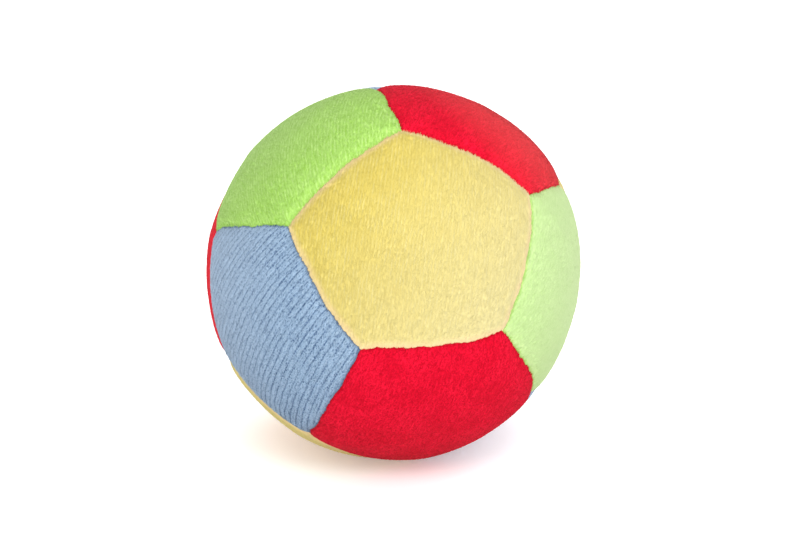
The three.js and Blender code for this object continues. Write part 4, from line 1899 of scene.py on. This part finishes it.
@dataclass
class FibreFilling:
    """The two wads of fibre, one in each bowl of panels, hollowed round the rattle capsule."""

    ball: SewnBall
    steps: int = 20
    lump: float = 0.5 * MM
    lump_length: float = 9 * MM
    tuft: float = 0.15 * MM
    tuft_length: float = 2.5 * MM
    gap: float = 0.3 * MM
    crowding: float = 0.4
    strand_squeeze: tuple[float, float, float] = (1.0, 0.35, 1.0)
    strand_size: float = 0.5 * MM
    strand_share: float = 0.6
    clot_size: float = 6 * MM
    dark: Colour = (0.80, 0.79, 0.76)
    light: Colour = (0.97, 0.96, 0.94)
    seed: int = 21

    def outer_radius(self, directions: Array, seam: Array) -> Array:
        """The wad's radius: it clears the cloth and the turned-in edges, and is lumpy.

        Args:
            directions: Directions from the ball's centre.
            seam: Their distances from a seam.

        Returns:
            The radii.
        """
        form = self.ball.form
        clear = form.fill_clearance
        edge = form.half_gap + form.cloth + clear
        under_cloth = form.cover_radius(seam) - form.cloth - clear
        under_edge = form.allowance_radius - clear
        share = smooth_step(seam, edge, edge + 3 * clear)
        points = directions * form.radius
        lumps = self.lump * (1 + np.tanh(Ripple(self.lump_length, self.seed).heights(points))) / 2
        tufts = self.tuft * (1 + np.tanh(Ripple(self.tuft_length, self.seed + 1).heights(points))) / 2
        return under_edge + (under_cloth - under_edge) * share - lumps - tufts

    def wad(self, plans: Sequence[PanelPlan]) -> tuple[Array, Array]:
        """Shapes the fibre behind some panels.

        Args:
            plans: The panels.

        Returns:
            The points from the ball's centre, and the faces.
        """
        form = self.ball.form
        grid = KiteGrid(self.steps, self.crowding)
        outlines = [self.ball.outline(plan) for plan in plans]
        spread = [grid.directions(outline.corners) for outline in outlines]
        seams = np.concatenate([outline.seam(aims) for outline, aims in zip(outlines, spread)])
        aims = np.concatenate(spread)
        first, places = merged(aims)
        numbers = np.concatenate([grid.faces + grid.count * k for k in range(len(plans))])
        faces = places[numbers]
        aims = aims[first]
        hollow = form.capsule / 2 + form.fill_clearance
        outer = aims * self.outer_radius(aims, seams[first])[:, None]
        count = len(aims)
        sides = np.concatenate([np.stack([faces[:, i], faces[:, (i + 1) % 4]], 1) for i in range(4)])
        codes = sides[:, 0] * count + sides[:, 1]
        rim = sides[~np.isin(codes, sides[:, 1] * count + sides[:, 0])]
        walls = np.column_stack([rim[:, 0], rim[:, 0] + count, rim[:, 1] + count, rim[:, 1]])
        return np.concatenate([outer, aims * hollow]), np.concatenate([faces, faces[:, ::-1] + count, walls])

    def material(self) -> bpy.types.Material:
        """Makes the white crimped fibre's finish."""
        material, maker = new_material("fibre_fill")
        place = maker.place()
        drawn_out = maker.vector_math("MULTIPLY", place, self.strand_squeeze)
        strands = maker.noise(drawn_out, self.strand_size, detail=4.0, roughness=0.65)
        clots = maker.noise(place, self.clot_size)
        tone = strands * self.strand_share + clots * (1 - self.strand_share)
        colour = maker.mix(tone, self.dark, self.light)
        bump = maker.bump(strands, strength=0.6, distance=0.3 * MM)
        sheen = {"Sheen Weight": 0.3, "Sheen Roughness": 0.5, "Specular IOR Level": 0.2}
        dress(maker, {"Base Color": colour, "Roughness": 0.9 + clots * 0.1, "Normal": bump} | sheen)
        return material

    def build(self) -> None:
        """Stuffs both bowls."""
        material = self.material()
        plans = self.ball.form.plans()
        front = self.ball.turn[:, 2]
        for name, panels, side in (("fill_front", plans[:6], 0.5), ("fill_back", plans[6:], -0.5)):
            points, faces = self.wad(panels)
            points = points + self.ball.centre + side * self.gap * front
            piece = new_piece(f"{name}_fibre", new_mesh(name, points, faces), material)
            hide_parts(name)
            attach(piece, "ball")
            LOG.info("%s: %d faces", name, len(faces))


@dataclass
class Rattle:
    """The plastic capsule and its pellets, whose shapes the construction gives."""

    nodes: dict[str, bpy.types.Object]
    scuff_squeeze: tuple[float, float, float] = (1.0, 1.0, 4.0)
    scuff_size: float = 3 * MM
    grain_size: float = 0.25 * MM
    capsule_dark: Colour = (0.82, 0.83, 0.83)
    capsule_light: Colour = (0.90, 0.91, 0.91)
    wear_size: float = 1.5 * MM
    wear_step: Span = (0.5, 0.7)
    pellet_plain: Colour = (0.81, 0.54, 0.05)
    pellet_worn: Colour = (0.86, 0.62, 0.12)

    def capsule_material(self) -> bpy.types.Material:
        """Makes the capsule's finish: translucent white moulded plastic, faintly scuffed."""
        material, maker = new_material("capsule_plastic")
        place = maker.place()
        drawn_out = maker.vector_math("MULTIPLY", place, self.scuff_squeeze)
        scuffs = maker.noise(drawn_out, self.scuff_size, detail=5.0, roughness=0.7)
        colour = maker.mix(scuffs, self.capsule_dark, self.capsule_light)
        bump = maker.bump(maker.noise(place, self.grain_size), strength=0.2, distance=0.03 * MM)
        dress(maker, {"Base Color": colour, "Roughness": 0.3 + scuffs * 0.2, "Normal": bump})
        return material

    def pellet_material(self) -> bpy.types.Material:
        """Makes the pellets' finish: glossy amber plastic, dulled where they knock together."""
        material, maker = new_material("pellet_plastic")
        wear = maker.noise(maker.place(), self.wear_size, detail=4.0, roughness=0.6)
        worn = maker.step(wear, *self.wear_step)
        colour = maker.mix(worn, self.pellet_plain, self.pellet_worn)
        bump = maker.bump(worn, strength=0.15, distance=0.02 * MM)
        dress(maker, {"Base Color": colour, "Roughness": 0.2 + worn * 0.25, "Normal": bump})
        return material

    def build(self) -> None:
        """Dresses the capsule halves and pellets."""
        finishes = {"capsule": self.capsule_material(), "pellet": self.pellet_material()}
        for name, node in self.nodes.items():
            kind = name.split("_")[0]
            if kind in finishes:
                node.data.materials.clear()
                node.data.materials.append(finishes[kind])
                LOG.info("%s: dressed", name)


# Studio


@dataclass
class Studio:
    """The pale floor, the soft light and the white surroundings."""

    floor_size: float = 6.0
    floor_colour: Colour = (0.9, 0.9, 0.9)
    floor_glow: float = 0.45
    # Painted contact shadow with a painted pink reflection of the red panels: the floor's glow near the ball,
    # and where it gives way to white
    contact_shadow_and_reflection: Colour = (0.68, 0.44, 0.42)
    contact_shadow_reach: Span = (26 * MM, 46 * MM)
    contact_shadow_squeeze: tuple[float, float, float] = (0.8, 1.5, 1.0)
    sky: float = 1.04
    key_power: float = 4.0
    key_place: tuple[float, float, float] = (0.55, -0.55, 0.85)
    key_size: float = 0.9
    front_power: float = 2.2
    front_place: tuple[float, float, float] = (-0.15, -0.9, 0.45)
    front_size: float = 0.8

    def build(self, target: Array) -> None:
        """Sets the stage.

        Args:
            target: The ball's centre.
        """
        bpy.context.scene.view_settings.view_transform = "Standard"
        self.lay_floor()
        self.light_world()
        self.hang_lamp("key", self.key_place, self.key_power, self.key_size, target)
        self.hang_lamp("front", self.front_place, self.front_power, self.front_size, target)

    @staticmethod
    def seen_directly(maker: NodeMaker) -> Value:
        """1 for rays from the camera, off gloss or through glass, and 0 for those that light the ball."""
        path = maker.add("ShaderNodeLightPath")
        shown = path.out("Is Camera Ray") + path.out("Is Glossy Ray") + path.out("Is Transmission Ray")
        return maker.math("MINIMUM", shown, 1.0)

    def lay_floor(self) -> None:
        """Makes the floor, whose own glow is seen but lights nothing; near the ball the glow is weaker and
        pink, a painted contact shadow with a painted reflection of the red panels.
        """
        half = self.floor_size / 2
        corners = np.array([(-half, -half, 0), (half, -half, 0), (half, half, 0), (-half, half, 0)])
        material, maker = new_material("floor")
        cloth = maker.add("ShaderNodeBsdfDiffuse", {}, {"Color": opaque(self.floor_colour)})
        # Painted contact shadow and painted reflection: the glow dims and turns pink near the ball
        squeezed = maker.vector_math("MULTIPLY", maker.place(), self.contact_shadow_squeeze)
        away = maker.vector_math("LENGTH", squeezed).out("Value")
        shadowed_glow = maker.mix(maker.step(away, *self.contact_shadow_reach), self.contact_shadow_and_reflection, WHITE)
        strength = self.seen_directly(maker) * self.floor_glow
        glow = maker.add("ShaderNodeEmission", {}, {"Color": shadowed_glow, "Strength": strength})
        both = maker.add("ShaderNodeAddShader", {}, {"Shader": cloth, "Shader_001": glow})
        maker.add("ShaderNodeOutputMaterial", {}, {"Surface": both})
        floor = new_piece("floor", new_mesh("floor", corners, [(0, 1, 2, 3)]), material)

    def light_world(self) -> None:
        """Surrounds the ball with even light, which looks white."""
        world = bpy.data.worlds.new("studio")
        bpy.context.scene.world = world
        world.use_nodes = True
        world.node_tree.nodes.clear()
        maker = NodeMaker(world.node_tree)
        level = self.sky + self.seen_directly(maker) * (1 - self.sky)
        light = maker.add("ShaderNodeBackground", {}, {"Color": opaque(WHITE), "Strength": level})
        maker.add("ShaderNodeOutputWorld", {}, {"Surface": light})

    @staticmethod
    def hang_lamp(name: str, place: Sequence[float], power: float, size: float, target: Array) -> None:
        """Hangs a soft lamp that faces the ball.

        Args:
            name: The lamp's name.
            place: Where it hangs.
            power: Its power in watts.
            size: Its width.
            target: What it faces.
        """
        data = bpy.data.lights.new(name, "AREA")
        data.energy = power
        data.shape = "DISK"
        data.size = size
        lamp = linked(name, data)
        lamp.location = place
        away = Vector(place) - Vector(target)
        lamp.rotation_euler = away.to_track_quat("Z", "Y").to_euler()


def main() -> None:
    """Builds the dressed ball."""
    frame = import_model()
    view = PhotoView()
    ball = SewnBall(BallForm(), view)
    view.place_camera(ball.centre)
    Studio().build(ball.centre)
    shape = StuffedShape(ball)
    cover = VelourCover(ball, shape)
    cover.build()
    SeamThreads(ball, cover).build()
    FibreFilling(ball).build()
    Rattle(frame["nodes"]).build()


if __name__ == "__main__":
    logging.basicConfig(level=logging.INFO, format="%(message)s")
    main()
